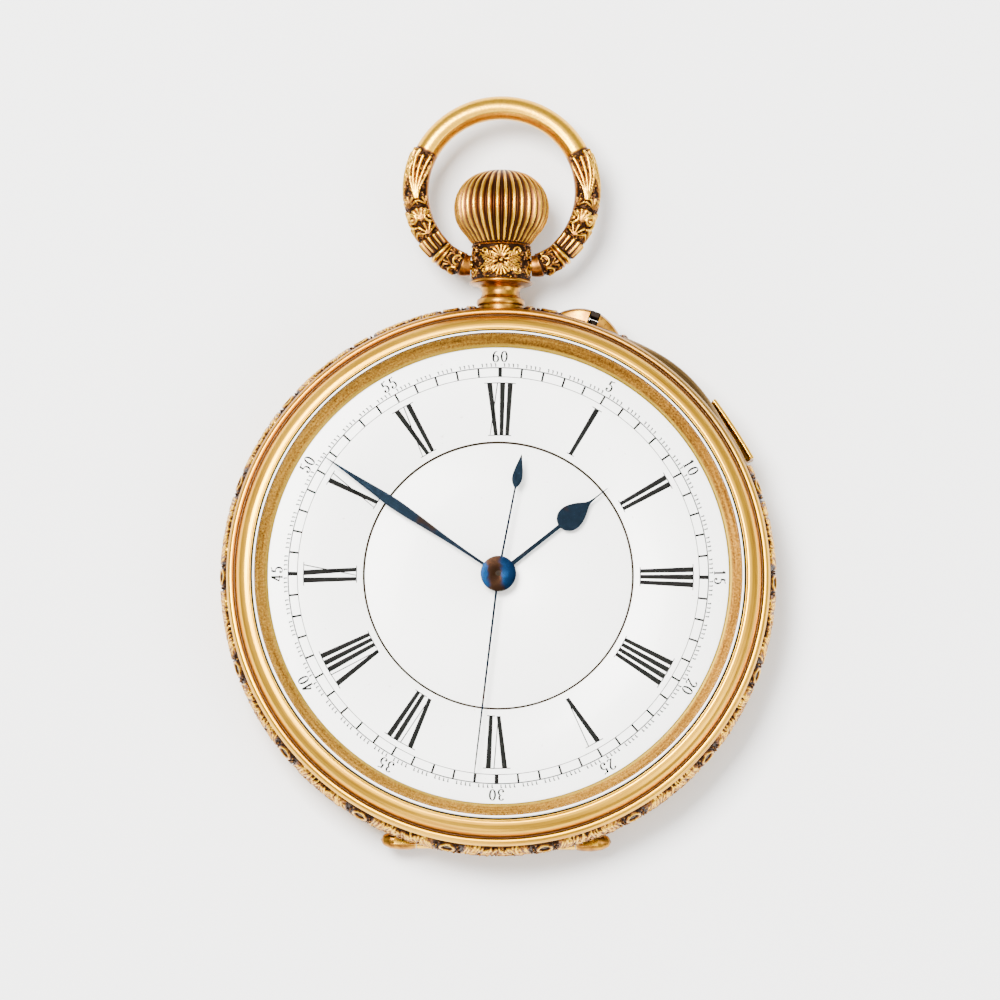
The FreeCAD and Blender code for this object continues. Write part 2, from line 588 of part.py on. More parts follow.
barrel_outline = [(-24, -6.0), (0, 2.9), (7.5, 8.1), (11.8, 24), (-24, 24)]
barrel_tools = screw_seats("barrel_bridge", BARREL_PILLARS)
barrel_tools.append(cylinder("ring_way", 4.85, 2, (*CROWN_WHEEL, 1.6)))
barrel_tools.append(cylinder("arbor_way", 1.25, 2, (*BARREL, 1.6)))
CLICK = (-16.6, 10.6)
barrel_tools.append(cylinder("click_seat", 0.4, 2, (*CLICK, 1.6)))
node("barrel_bridge", bridge("barrel_bridge", barrel_outline, barrel_tools))

train_outline = [
    (-24, -6.2), (0.1, 2.7), (7.7, 7.9), (12.1, 24), (24, 12), (24, -2.2), (14.5, -3.2), (8.2, -2.6),
    (4.4, -6.9),
    (1.6, -12), (0.2, -24), (-24, -24),
]
train_tools = screw_seats("train_bridge", TRAIN_PILLARS)
for name, spot in (("third", THIRD), ("escape", ESCAPE), ("fourth", CENTRE)):
    train_tools.append(cylinder(f"bridge_seat_{name}", "jewel_radius", 2, (spot[0], spot[1], 1.6)))
node("train_bridge", bridge("train_bridge", train_outline, train_tools))

cock_outline = [
    (9.2, -8.7), (11.3, -8.7), (11.9, -10.6), (10.8, -12.4), (8.6, -15.5), (6.9, -19.4), (5.6, -21.3),
    (2.6, -21.3),
    (2.9, -18.3), (5.6, -15.0), (8.4, -11.4), (8.5, -9.6),
]
cock_bar = slab("cock_bar", cock_outline, 1.7, 0.85)
cock_leg = cylinder("cock_leg", 1.45, 3.9, (*COCK_FOOT, 2.4))
cock_joined = fuse("cock_joined", [cock_bar, cock_leg])
cock_tools = [cylinder("cock_jewel_seat", "jewel_radius", 2, (*BALANCE, 1.2))]
cock_tools.append(cylinder("cock_screw_seat", "screw_radius", 3.2, (*COCK_FOOT, 1.4)))
cock_tools.append(cylinder("cock_head_seat", 0.95, 0.6, (*COCK_FOOT, 1.4)))
node("balance_cock", cut("balance_cock_solid", cock_joined, cock_tools))

pallet_bar = slab("pallet_bar", [(6.2, -7.6), (7.6, -9.0), (13.0, -3.2), (11.8, -1.9)], 4.35, 0.45)
pallet_leg = cylinder("pallet_leg", 1.0, 1.6, (*PALLET_FOOT, 4.7))
pallet_joined = fuse("pallet_joined", [pallet_bar, pallet_leg])
pallet_seats = [cylinder("pallet_jewel_seat", "jewel_radius", 2, (*PALLET, 3.6))]
pallet_seats.append(cylinder("pallet_screw_seat", 0.35, 1.2, (*PALLET_FOOT, 4.2)))
node("pallet_cock", cut("pallet_cock_solid", pallet_joined, pallet_seats))

screws = []
for place, (x, y) in enumerate(BARREL_PILLARS + TRAIN_PILLARS):
    body = lathe(f"screw_{place}", [(0, 0), (0.85, 0), (0.85, 0.4), (0.44, 0.4), (0.44, 2.6), (0, 2.6)],
        (x, y, 1.7))
    slot = block(f"screw_slot_{place}", (2, 0.22, 0.2), (x - 1, y - 0.11, 1.6))
    screws.append(cut(f"screw_cut_{place}", body, [slot]))
cock_screw = lathe("cock_screw", [(0, 0), (0.9, 0), (0.9, 0.35), (0.48, 0.35), (0.48, 2.8), (0, 2.8)],
    (*COCK_FOOT, 1.65))
screws.append(cock_screw)
pallet_screw = lathe("pallet_screw", [(0, 0), (0.6, 0), (0.6, 0.3), (0.33, 0.3), (0.33, 1.2), (0, 1.2)],
    (*PALLET_FOOT, 4.05))
screws.append(pallet_screw)
node("bridge_screws", group("bridge_screws_group", screws))
case_screws = []
for place, angle in enumerate(CASE_SCREW_ANGLES):
    x, y = ring_spot(23.1, angle)
    section = [(0, 0), (0.7, 0), (0.7, 0.3), (0.34, 0.3), (0.34, 1.9), (0, 1.9)]
    case_screws.append(lathe(f"case_screw_{place}", section, (x, y, 5.28)))
node("case_screws", group("case_screws_group", case_screws))

jewels = []
for name, spot in JEWEL_SPOTS:
    at = (spot[0], spot[1], "plate_back_z")
    jewels.append(tube(f"jewel_plate_{name}", "jewel_radius", ("pivot_radius", 0.03), 0.5, at))
for name, spot, low in (
        ("third", THIRD, 2.5), ("escape", ESCAPE, 2.5), ("fourth", CENTRE, 2.5), ("pallet", PALLET, 4.35),
        ("balance", BALANCE, 1.95)):
    jewels.append(tube(f"jewel_back_{name}", "jewel_radius", ("pivot_radius", 0.03), 0.45,
        (spot[0], spot[1], low)))
node("jewels", group("jewels_group", jewels))

# ---- barrel and winding ---------------------------------------------------------------------------

BARREL_TEETH = 80
barrel_gear = gear("barrel_teeth", BARREL_TEETH, 0.22, 5.75, 0.35, "barrel_radius", BARREL,
    tooth_to(BARREL, CENTRE))
drum_section = [
    (0.85, 4.65), (1.6, 4.65), (1.6, 4.9), (("barrel_radius", -0.45), 4.9),
    (("barrel_radius", -0.45), 4.75),
    ("barrel_radius", 4.75), ("barrel_radius", 6.15), (("barrel_radius", -0.45), 6.15),
    (("barrel_radius", -0.45), 5.15),
    (0.85, 5.15),
]
drum = lathe("barrel_drum", drum_section, (*BARREL, 0))
node("barrel", fuse("barrel_solid", [drum, barrel_gear]))
lid = lathe("barrel_lid", [(0.85, 5.98), (("barrel_radius", -0.46), 5.98),
    (("barrel_radius", -0.46), 6.15), (0.85, 6.15)],
            (*BARREL, 0))
node("barrel_cover", lid)
arbor_section = [
    (0, 1.55), (0.9, 1.55), (0.9, 2.1), (1.2, 2.1), (1.2, 4.55), (0.8, 4.55), (0.8, 5.25), (1.3, 5.25),
    (1.3, 5.9),
    (0.8, 5.9), (0.8, 6.95), (0, 6.95),
]
node("barrel_arbor", lathe("barrel_arbor_turned", arbor_section, (*BARREL, 0)))


def spiral(name, inner, outer, turns, width, low, height, at, steps=28):
    """A strip wound as an Archimedean spiral, drawn as an outline of its two long edges."""
    count = int(turns * steps)
    outside = []
    inside = []
    for step in range(count + 1):
        share = step / count
        radius = inner + (outer - inner) * share
        outside.append(ring_spot(radius + width / 2, 360 * turns * share))
        inside.append(ring_spot(radius - width / 2, 360 * turns * share))
    edges = [FreeCAD.Vector(x, y, 0) for x, y in outside + inside[::-1] + outside[:1]]
    obj = doc.addObject("Part::Feature", name)
    obj.Shape = Part.Face(Part.makePolygon(edges)).extrude(FreeCAD.Vector(0, 0, height))
    move(obj, (at[0], at[1], low))
    return obj


node("mainspring", spiral("mainspring_strip", 1.55, VALUE["barrel_radius"] - 0.65, 9, 0.25, 5.25, 0.65,
    BARREL))

RATCHET_TEETH = 60
CROWN_TEETH = 40
ratchet_phase = tooth_to(BARREL, CROWN_WHEEL)
node("ratchet_wheel", gear("ratchet_solid", RATCHET_TEETH, 0.25, 1.6, 0.4, 0.9, BARREL, ratchet_phase,
    spokes=0))
ratchet_screw = lathe("ratchet_screw_turned", [(0, 0), (1.7, 0), (1.7, 0.2), (0, 0.2)], (*BARREL, 1.35))
ratchet_slot = block("ratchet_screw_slot", (4, 0.3, 0.1), (("barrel_x", -2), ("barrel_y", -0.15), 1.33))
node("ratchet_screw", cut("ratchet_screw_solid", ratchet_screw, [ratchet_slot]))

crown_gear = gear("crown_gear", CROWN_TEETH, 0.25, 1.65, 0.4, 1.53, CROWN_WHEEL,
                  gap_to(CROWN_WHEEL, BARREL, CROWN_TEETH))
crown_skirt = tube("crown_skirt", 4.6, 3.8, 1.6, (*CROWN_WHEEL, 2.0))
CONTRATE_TEETH = 36
contrate = []
for step in range(CONTRATE_TEETH):
    angle = math.radians(90 + step * 360 / CONTRATE_TEETH)
    tooth = doc.addObject("Part::Wedge", f"contrate_tooth_{step}")
    tooth.Ymin = 0
    tooth.Ymax = 0.9
    tooth.Zmin = 0
    tooth.Zmax = 0.8
    tooth.Z2min = 0
    tooth.Z2max = 0.8
    tooth.Xmin = -0.2
    tooth.Xmax = 0.2
    tooth.X2min = -0.07
    tooth.X2max = 0.07
    tilt = FreeCAD.Rotation(FreeCAD.Vector(1, 0, 0), 90)
    spin = FreeCAD.Rotation(FreeCAD.Vector(0, 0, 1), math.degrees(angle) - 90)
    reach = FreeCAD.Vector(4.6 * math.cos(angle), 4.6 * math.sin(angle) + VALUE["crown_wheel_y"], 3.62)
    tooth.Placement = FreeCAD.Placement(reach, spin.multiply(tilt))
    contrate.append(tooth)
node("crown_wheel", fuse("crown_wheel_solid", [crown_gear, crown_skirt] + contrate))
cap_section = [(0, 0), (2.4, 0), (2.4, 0.22), (0.44, 0.22), (0.44, 1.6), (0, 1.6)]
node("crown_wheel_cap", lathe("crown_cap_turned", cap_section, (*CROWN_WHEEL, 1.38)))

click_section = [
    (-0.9, -0.4), (0.3, -0.6), (2.98, -0.05), (2.9, 0.18), (0.3, 0.6), (-0.9, 0.4),
]
CLICK_AIM = facing(CLICK, BARREL) + 42.5
click_blade = slab("click_blade", click_section, 1.62, 0.4, CLICK, (FreeCAD.Vector(0, 0, 1), CLICK_AIM))
click_stud = cylinder("click_stud", 0.37, 1.35, (*CLICK, 1.62))
node("click", fuse("click_solid", [click_blade, click_stud]))
spring_outline = [(-19.6, 2.4), (-19.2, 2.3), (-18.3, 7.2), (-17.62, 9.9), (-17.8, 10.0), (-18.7, 7.4)]
spring_strip = slab("click_spring_strip", spring_outline, 1.65, 0.35)
spring_foot = cylinder("click_spring_foot", 0.7, 0.35, (-19.3, 2.6, 1.65))
node("click_spring", fuse("click_spring_solid", [spring_strip, spring_foot]))

# ---- going train ------------------------------------------------------------------------------------

node("centre_wheel", gear("centre_wheel_solid", 80, 0.16, 4.15, 0.25, 0.55, CENTRE,
    tooth_to(CENTRE, THIRD), 5, 1.5))
centre_leaves = gear("centre_leaves", 10, 0.22, 5.7, 0.5, 0.55, CENTRE, gap_to(CENTRE, BARREL, 10))
centre_tube = tube("centre_tube", 0.55, 0.25, 5.7, (0, 0, 4.05))
node("centre_pinion", fuse("centre_pinion_solid", [centre_leaves, centre_tube]))


def arbor(name, at, low, high, radius=0.22):
    """A straight arbor with a fine pivot at each end."""
    section = [
        (0, low), ("pivot_radius", low), ("pivot_radius", low + 0.5), (radius, low + 0.5),
        (radius, high - 0.5),
        ("pivot_radius", high - 0.5), ("pivot_radius", high), (0, high),
    ]
    return lathe(name, section, (at[0], at[1], 0))


node("third_wheel", gear("third_wheel_solid", 75, 0.169412, 3.25, 0.2, 0.22, THIRD,
    tooth_to(THIRD, CENTRE), 5, 1.5))
third_leaves = gear("third_leaves", 10, 0.16, 4.02, 0.5, 0.22, THIRD, gap_to(THIRD, CENTRE, 10))
node("third_pinion", fuse("third_pinion_solid", [third_leaves, arbor("third_arbor", THIRD, 2.53, 6.75)]))

node("fourth_wheel", gear("fourth_wheel_solid", 80, 0.16, 3.7, 0.2, 0.2, CENTRE,
    tooth_to(CENTRE, ESCAPE), 5, 1.5))
fourth_leaves = gear("fourth_leaves", 10, 0.169412, 3.1, 0.5, 0.2, CENTRE, gap_to(CENTRE, THIRD, 10))
seconds_section = [(0, 2.53), ("pivot_radius", 2.53), ("pivot_radius", 3.03), (0.2, 3.03), (0.2, 11.0),
    (0, 11.0)]
seconds_rod = lathe("seconds_rod", seconds_section)
node("seconds_arbor", fuse("seconds_arbor_solid", [fourth_leaves, seconds_rod]))

escape_leaves = gear("escape_leaves", 8, 0.16, 3.74, 0.36, 0.2, ESCAPE, gap_to(ESCAPE, CENTRE, 8))
node("escape_pinion", fuse("escape_pinion_solid", [escape_leaves,
    arbor("escape_arbor", ESCAPE, 2.53, 6.75, 0.2)]))
escape_body = doc.addObject("PartDesign::Body", "escape_wheel_solid")
escape_disc = polygon_sketch(escape_body, "escape_disc", "XZ_Plane",
    [(1.75, 0), (2.25, 0), (2.25, 0.2), (1.75, 0.2)])
escape_rim = escape_body.newObject("PartDesign::Revolution", "escape_rim")
escape_rim.Profile = escape_disc
escape_rim.ReferenceAxis = (escape_disc, ["V_Axis"])
escape_rim.Angle = 360
escape_axis = [item for item in escape_body.Origin.OriginFeatures if item.Role == "Z_Axis"][0]
tooth_outline = polygon_sketch(escape_body, "escape_tooth", "XY_Plane",
                               [(2.1, -0.42), (2.3, -0.45), (2.98, 0.3), (2.96, 0.4), (2.3, 0.1),
                                   (2.1, 0.1)])
tooth_pad = escape_body.newObject("PartDesign::Pad", "escape_tooth_pad")
tooth_pad.Profile = tooth_outline
tooth_pad.Length = 0.2
doc.recompute()
escape_ring = escape_body.newObject("PartDesign::PolarPattern", "escape_teeth")
escape_ring.Originals = [tooth_pad]
escape_ring.Axis = (escape_axis, [""])
escape_ring.Angle = 360
escape_ring.Occurrences = 15
escape_body.Tip = escape_ring
spoke_parts = [escape_body]
for place in range(2):
    spoke = block(f"escape_spoke_{place}", (3.9, 0.32, 0.2), (-1.95, -0.16, 0))
    if place:
        spoke.Placement = FreeCAD.Placement(FreeCAD.Vector(0.16, -1.95, 0),
            FreeCAD.Rotation(FreeCAD.Vector(0, 0, 1), 90))
    spoke_parts.append(spoke)
escape_joined = fuse("escape_joined", spoke_parts + [cylinder("escape_boss", 0.5, 0.2, (0, 0, 0))])
escape_bore = cylinder("escape_bore", 0.2, 1, (0, 0, -0.4))
escape_wheel = cut("escape_wheel_bored", escape_joined, [escape_bore])
move(escape_wheel, (ESCAPE[0], ESCAPE[1], 5.3), (FreeCAD.Vector(0, 0, 1), -45 + 4))
node("escape_wheel", escape_wheel)

# The lever is drawn with the escape wheel towards -X and the balance towards +X,
# then turned by -45 degrees.
LEVER_TURN = (FreeCAD.Vector(0, 0, 1), -45)
lever_outline = [
    (-0.95, -1.55), (-0.75, -1.95), (-0.35, -1.85), (-0.1, -0.6), (0.5, -0.3), (2.6, -0.16),
    (2.95, -0.42), (3.45, -0.36), (3.4, -0.17),
    (3.05, -0.17), (3.05, 0.17), (3.4, 0.17), (3.45, 0.36), (2.95, 0.42), (2.6, 0.16), (0.5, 0.3),
    (-0.1, 0.6),
    (-0.35, 1.85), (-0.75, 1.95), (-0.95, 1.55), (-0.5, 0.4), (-0.45, 0), (-0.5, -0.4),
]
lever_blade = slab("lever_blade", lever_outline, 5.6, 0.25, PALLET, LEVER_TURN)
lever_bore = cylinder("lever_bore", 0.2, 1, (*PALLET, 5))
node("pallet_lever", cut("pallet_lever_solid", lever_blade, [lever_bore]))
node("pallet_arbor", arbor("pallet_arbor_solid", PALLET, 4.37, 6.75, 0.2))
stones = []
for side, name in ((1, "entry"), (-1, "exit")):
    outline = []
    for reach, offset in ((3.05, -3.4), (3.45, -3.0), (3.45, 3.0), (3.05, 3.4)):
        x, y = ring_spot(reach, side * (30 + offset))
        outline.append((x - 3.46, y))
    stones.append(slab(f"pallet_stone_{name}", outline, 5.28, 0.32, PALLET, LEVER_TURN))
node("pallet_stones", group("pallet_stones_group", stones))

rim_section = [(("balance_radius", -0.7), 3.1), ("balance_radius", 3.1), ("balance_radius", 3.7),
    (("balance_radius", -0.7), 3.7)]
balance_rim = lathe("balance_rim", rim_section, (*BALANCE, 0))
balance_arm = block("balance_arm", (("balance_radius", -0.6, 2.0), 0.9, 0.35),
    (("balance_x", -6.6), ("balance_y", -0.45), 3.2))
balance_boss = cylinder("balance_boss", 0.9, 0.45, (*BALANCE, 3.15))
rim_screws = []
for step in range(14):
    angle = 12 + step * 360 / 14
    if abs((angle % 180) - 0) < 8:
        continue
    x, y = ring_spot(6.75, angle)
    turn = (FreeCAD.Vector(-math.sin(math.radians(angle)), math.cos(math.radians(angle)), 0), 90)
    rim_screws.append(cylinder(f"rim_screw_{step}", 0.26, 0.35,
        (("balance_x", x), ("balance_y", y), 3.4), turn))
balance_joined = fuse("balance_joined", [balance_rim, balance_arm, balance_boss] + rim_screws)
balance_bore = cylinder("balance_bore", 0.3, 2, (*BALANCE, 2.6))
node("balance_wheel", cut("balance_wheel_solid", balance_joined, [balance_bore]))
staff_section = [
    (0, 1.97), ("pivot_radius", 1.97), ("pivot_radius", 2.45), (0.3, 2.45), (0.3, 4.9), (0.85, 4.9),
    (0.85, 5.1), (0.3, 5.1),
    (0.3, 6.2), ("pivot_radius", 6.25), ("pivot_radius", 6.75), (0, 6.75),
]
node("balance_staff", lathe("balance_staff_turned", staff_section, (*BALANCE, 0)))
pin_x, pin_y = ring_spot(0.72, 135)
node("impulse_jewel", cylinder("impulse_pin", 0.12, 0.6, (("balance_x", pin_x), ("balance_y", pin_y), 5.1)))
node("hairspring", spiral("hairspring_strip", 0.5, 3.3, 9, 0.09, 2.68, 0.22, BALANCE, 32))
index_outline = [(-1.0, -0.75), (1.0, -0.75), (0.5, 0.9), (0.22, 3.6), (0, 5.2), (-0.22, 3.6), (-0.5, 0.9)]
index_blade = slab("index_blade", index_outline, 1.45, 0.22, BALANCE, (FreeCAD.Vector(0, 0, 1), 122))
index_hole = cylinder("index_hole", "jewel_radius", 1, (*BALANCE, 1.2))
node("regulator", cut("regulator_solid", index_blade, [index_hole]))

# ---- motion work -------------------------------------------------------------------------------------

cannon_leaves = gear("cannon_leaves", 12, 0.2, 7.65, 0.3, 0.58, CENTRE, gap_to(CENTRE, MINUTE_WHEEL, 12))
cannon_pipe = tube("cannon_pipe", 0.85, 0.58, 2.9, (0, 0, 7.65))
node("cannon_pinion", fuse("cannon_pinion_solid", [cannon_leaves, cannon_pipe]))
minute_gear = gear("minute_gear", 36, 0.2, 7.68, 0.22, 0.38, MINUTE_WHEEL, tooth_to(MINUTE_WHEEL, CENTRE))
minute_leaves = gear("minute_leaves", 10, 0.192, 7.9, 0.5, 0.38, MINUTE_WHEEL,
    gap_to(MINUTE_WHEEL, CENTRE, 10))
node("minute_wheel", fuse("minute_wheel_solid", [minute_gear, minute_leaves]))
hour_gear = gear("hour_gear", 40, 0.192, 8.05, 0.25, 0.9, CENTRE, tooth_to(CENTRE, MINUTE_WHEEL))
hour_pipe = tube("hour_pipe", 1.15, 0.9, 2.07, (0, 0, 8.05))
node("hour_wheel", fuse("hour_wheel_solid", [hour_gear, hour_pipe]))

# ---- export ------------------------------------------------------------------------------------------

doc.recompute()
for item in doc.Objects:
    if "Invalid" in item.State or "Error" in item.State:
        raise RuntimeError(f"{item.Name} did not compute: {item.State}")
os.makedirs("parts", exist_ok=True)
for name, item in NODES.items():
    if item.Shape.isNull() or not item.Shape.isValid():
        raise RuntimeError(f"{name} has no valid shape")
    item.Shape.exportStep(f"parts/{name}.step")
print(len(NODES), "nodes written")
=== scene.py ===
import json
import math

import bmesh
import bpy
import numpy as np
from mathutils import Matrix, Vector


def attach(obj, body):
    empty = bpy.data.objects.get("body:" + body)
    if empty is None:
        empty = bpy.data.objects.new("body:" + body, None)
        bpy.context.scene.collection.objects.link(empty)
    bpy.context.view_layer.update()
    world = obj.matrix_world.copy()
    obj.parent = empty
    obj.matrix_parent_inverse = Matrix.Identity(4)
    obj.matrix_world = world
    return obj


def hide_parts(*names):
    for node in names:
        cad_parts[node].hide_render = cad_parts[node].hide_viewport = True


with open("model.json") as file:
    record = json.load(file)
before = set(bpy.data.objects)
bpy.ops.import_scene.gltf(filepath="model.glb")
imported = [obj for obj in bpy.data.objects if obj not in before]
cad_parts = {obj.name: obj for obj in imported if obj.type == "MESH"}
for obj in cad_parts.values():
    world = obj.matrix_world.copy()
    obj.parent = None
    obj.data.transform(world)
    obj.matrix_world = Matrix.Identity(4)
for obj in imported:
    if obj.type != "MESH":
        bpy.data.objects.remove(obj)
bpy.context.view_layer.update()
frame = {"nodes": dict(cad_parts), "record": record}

MM = 0.001
TAU = 2 * math.pi


# ---- meshes -----------------------------------------------------------------------------------------

def make_mesh(name, points, faces, body, hides=(), smooth=True, fields=None):
    """A mesh piece from points in millimetres and faces of three or more corners."""
    mesh = bpy.data.meshes.new(name)
    mesh.from_pydata((np.asarray(points, dtype=float) * MM).tolist(), [], faces)
    mesh.validate()
    if smooth:
        mesh.polygons.foreach_set("use_smooth", [True] * len(mesh.polygons))
    for field, values in (fields or {}).items():
        layer = mesh.attributes.new(field, "FLOAT", "POINT")
        layer.data.foreach_set("value", np.asarray(values, dtype=np.float32))
    mesh.update()
    piece = bpy.data.objects.new(name, mesh)
    bpy.context.scene.collection.objects.link(piece)
    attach(piece, body)
    if hides:
        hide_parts(*hides)
    return piece


def grid_faces(rows, columns, wrap_rows, wrap_columns):
    """Quads between neighbouring points of a grid that may close on itself either way."""
    i = np.arange(rows if wrap_rows else rows - 1)
    j = np.arange(columns if wrap_columns else columns - 1)
    a, b = np.meshgrid(i, j, indexing="ij")
    a2 = (a + 1) % rows
    b2 = (b + 1) % columns
    quads = np.stack([a * columns + b, a2 * columns + b, a2 * columns + b2, a * columns + b2], axis=-1)
    return quads.reshape(-1, 4).tolist()


def swept_faces(rings, corners):
    """Faces of a closed section swept along rings, with both ends capped."""
    faces = grid_faces(rings, corners, False, True)
    faces.append(list(range(corners)))
    faces.append([(rings - 1) * corners + index for index in reversed(range(corners))])
    return faces


def ring_points(section, degrees):
    """Points of a (radius, height) section at one direction round the watch's axis."""
    turn = math.radians(degrees)
    return [(r * math.cos(turn), r * math.sin(turn), z) for r, z in section]


def mesh_grid(rows, columns):
    """Both coordinates at every point of a grid."""
    return np.meshgrid(rows, columns, indexing="ij")


def upright(radius, turn, height):
    """Places at a distance and direction from the watch's axis, at a height."""
    return np.stack([radius * np.cos(turn), radius * np.sin(turn), height], axis=-1)


def vertex_places(piece):
    places = np.empty(len(piece.data.vertices) * 3)
    piece.data.vertices.foreach_get("co", places)
    return places.reshape(-1, 3)


def lathe(name, section, body, hides=(), count=360, axis="Z", at=(0, 0, 0), swell=None):
    """Turn a closed section of (radius, height) corners; corners on the axis become poles."""
    profile = np.array(section, dtype=float)
    angles = np.arange(count) / count * TAU
    radius = profile[None, :, 0] * np.ones((count, 1))
    height = profile[None, :, 1] * np.ones((count, 1))
    if swell:
        radius, height = swell(angles[:, None], radius, height)
    points = upright(radius, angles[:, None], height).reshape(-1, 3)
    if axis == "Y":
        points = np.stack([points[:, 0], points[:, 2], -points[:, 1]], axis=-1)
    points = points + np.array(at)
    faces = grid_faces(count, len(profile), True, True)
    piece = make_mesh(name, points, faces, body, hides)
    weld(piece)
    return piece


def weld(piece, distance=1e-6):
    """Join doubled points and turn every face outward."""
    work = bmesh.new()
    work.from_mesh(piece.data)
    bmesh.ops.remove_doubles(work, verts=work.verts, dist=distance)
    bmesh.ops.dissolve_degenerate(work, edges=work.edges, dist=distance)
    bmesh.ops.recalc_face_normals(work, faces=work.faces)
    work.to_mesh(piece.data)
    work.free()


def round_corners(section, reach, steps=4):
    """Replace each corner of a closed section by a small arc-like curve."""
    result = []
    count = len(section)
    for index, corner in enumerate(section):
        here = np.array(corner, dtype=float)
        before = np.array(section[index - 1], dtype=float) - here
        after = np.array(section[(index + 1) % count], dtype=float) - here
        size = min(reach, 0.45 * np.linalg.norm(before), 0.45 * np.linalg.norm(after))
        if size < 1e-4 or abs(here[0]) < 1e-6:
            result.append(tuple(here))
            continue
        first = here + before / np.linalg.norm(before) * size
        last = here + after / np.linalg.norm(after) * size
        for step in range(steps + 1):
            share = step / steps
            point = (1 - share) ** 2 * first + 2 * share * (1 - share) * here + share ** 2 * last
            result.append(tuple(point))
    return result


def smooth_line(points, steps=6, closed=False):
    """Catmull-Rom curve through the points."""
    line = np.array(points, dtype=float)
    count = len(line)
    result = []
    spans = count if closed else count - 1
    for index in range(spans):
        p1 = line[index]
        p2 = line[(index + 1) % count]
        p0 = line[index - 1] if (closed or index > 0) else p1
        p3 = line[(index + 2) % count] if (closed or index + 2 < count) else p2
        for step in range(steps):
            t = step / steps
            result.append(0.5 * ((2 * p1) + (p2 - p0) * t + (2 * p0 - 5 * p1 + 4 * p2 - p3) * t * t
                                 + (3 * p1 - p0 - 3 * p2 + p3) * t ** 3))
    if not closed:
        result.append(line[-1])
    return np.array(result)


# ---- chasing: raised strokes on a surface ------------------------------------------------------------

def capsule(x0, y0, x1, y1, r0, r1, h0, h1):
    """One raised stroke: its two ends, their half widths and their heights."""
    return [x0, y0, x1, y1, r0, r1, h0, h1]


def stroke(points, r0, r1, h0, h1):
    """A tapering raised line through the points."""
    rows = []
    count = len(points) - 1
    for index in range(count):
        a = index / count
        b = (index + 1) / count
        rows.append(capsule(*points[index], *points[index + 1], r0 + (r1 - r0) * a, r0 + (r1 - r0) * b,
                            h0 + (h1 - h0) * a, h0 + (h1 - h0) * b))
    return rows


def from_point(x, y, reach, angle):
    """The place at a distance and a direction in radians from (x, y)."""
    return x + reach * math.cos(angle), y + reach * math.sin(angle)


def crumb(x, y, angle, reach, size, high, low):
    """A short stroke that fades away from (x, y)."""
    return stroke([(x, y), from_point(x, y, reach, angle)], size, size * 0.7, high, low)


def bead(x, y, size, height):
    return capsule(x, y, x + 0.001, y, size, size, height, height)


def curl(x, y, start, end, first, last, steps=16):
    """Points of a spiral whose radius goes from start to end."""
    points = []
    for step in range(steps + 1):
        share = step / steps
        radius = start + (end - start) * share
        angle = math.radians(first + (last - first) * share)
        points.append(from_point(x, y, radius, angle))
    return points


def relief(u, v, strokes):
    """Height of the strokes' rounded tops over the surface at every (u, v)."""
    shape = u.shape
    pu = u.reshape(-1, 1)
    pv = v.reshape(-1, 1)
    height = np.zeros(pu.shape[0])
    table = np.array(strokes)
    for start in range(0, len(table), 64):
        x0, y0, x1, y1, r0, r1, h0, h1 = [column[None, :] for column in table[start:start + 64].T]
        dx = x1 - x0
        dy = y1 - y0
        share = np.clip(((pu - x0) * dx + (pv - y0) * dy) / (dx * dx + dy * dy + 1e-9), 0, 1)
        away = (pu - x0 - share * dx) ** 2 + (pv - y0 - share * dy) ** 2
        radius = r0 + (r1 - r0) * share
        dome = np.clip(1 - away / (radius * radius), 0, 1) ** 0.8
        height = np.maximum(height, ((h0 + (h1 - h0) * share) * dome).max(axis=1))
    return height.reshape(shape)


def repeated_relief(around, across, pitch, rows_of, wanted=True):
    """Relief of ornament that repeats every pitch; rows_of gives the strokes of one numbered repeat."""
    height = np.zeros_like(around)
    cell = np.round(around / pitch).astype(int)
    for index in np.unique(cell):
        mask = (cell == index) & wanted
        height[mask] = relief(around[mask] - index * pitch, across[mask], rows_of(int(index)))
    return height


def leaf(x, y, aim, length, width, height, lobes=5):
    """An acanthus leaf: a midrib with lobes that fan out on both sides."""
    rows = []
    ca = math.cos(math.radians(aim))
    sa = math.sin(math.radians(aim))
    rows += stroke([(x, y), (x + length * ca, y + length * sa)], width * 0.22, width * 0.1, height, height * 0.8)
    for lobe in range(lobes):
        share = (lobe + 0.4) / lobes
        root_x = x + length * share * ca * 0.9
        root_y = y + length * share * sa * 0.9
        reach = width * (1.1 - 0.55 * share)
        for side in (1, -1):
            turn = math.radians(aim + side * (62 - 22 * share))
            tip = from_point(root_x, root_y, reach, turn)
            rows += stroke([(root_x, root_y), tip], width * 0.13, width * 0.2, height * 0.55, height * 0.9)
    return rows


def flower(x, y, size, height, petals=6, turn=0.0):
    """A boss with petals round it."""
    rows = [bead(x, y, size * 0.26, height * 1.1)]
    for petal in range(petals):
        angle = turn + petal * TAU / petals
        ends = [from_point(x, y, size * share, angle) for share in (0.45, 0.8)]
        rows += stroke(ends, size * 0.17, size * 0.24, height * 0.7, height)
    return rows


def shell(x, y, aim, size, height, rays=7, spread=150):
    """A fan of strokes that widen from one point."""
    rows = []
    for ray in range(rays):
        angle = math.radians(aim + (ray / (rays - 1) - 0.5) * spread)
        rows += stroke([(x, y), from_point(x, y, size, angle)], size * 0.07, size * 0.17, height * 0.5, height)
    return rows


def gadroons(first, last, low, high, lean, pitch, width, height):
    """A row of short slanting strokes along a border."""
    rows = []
    place = first
    while place < last:
        rows += stroke([(place, low), (place + lean, high)], width, width * 1.2, height * 0.8, height)
        place += pitch
    return rows


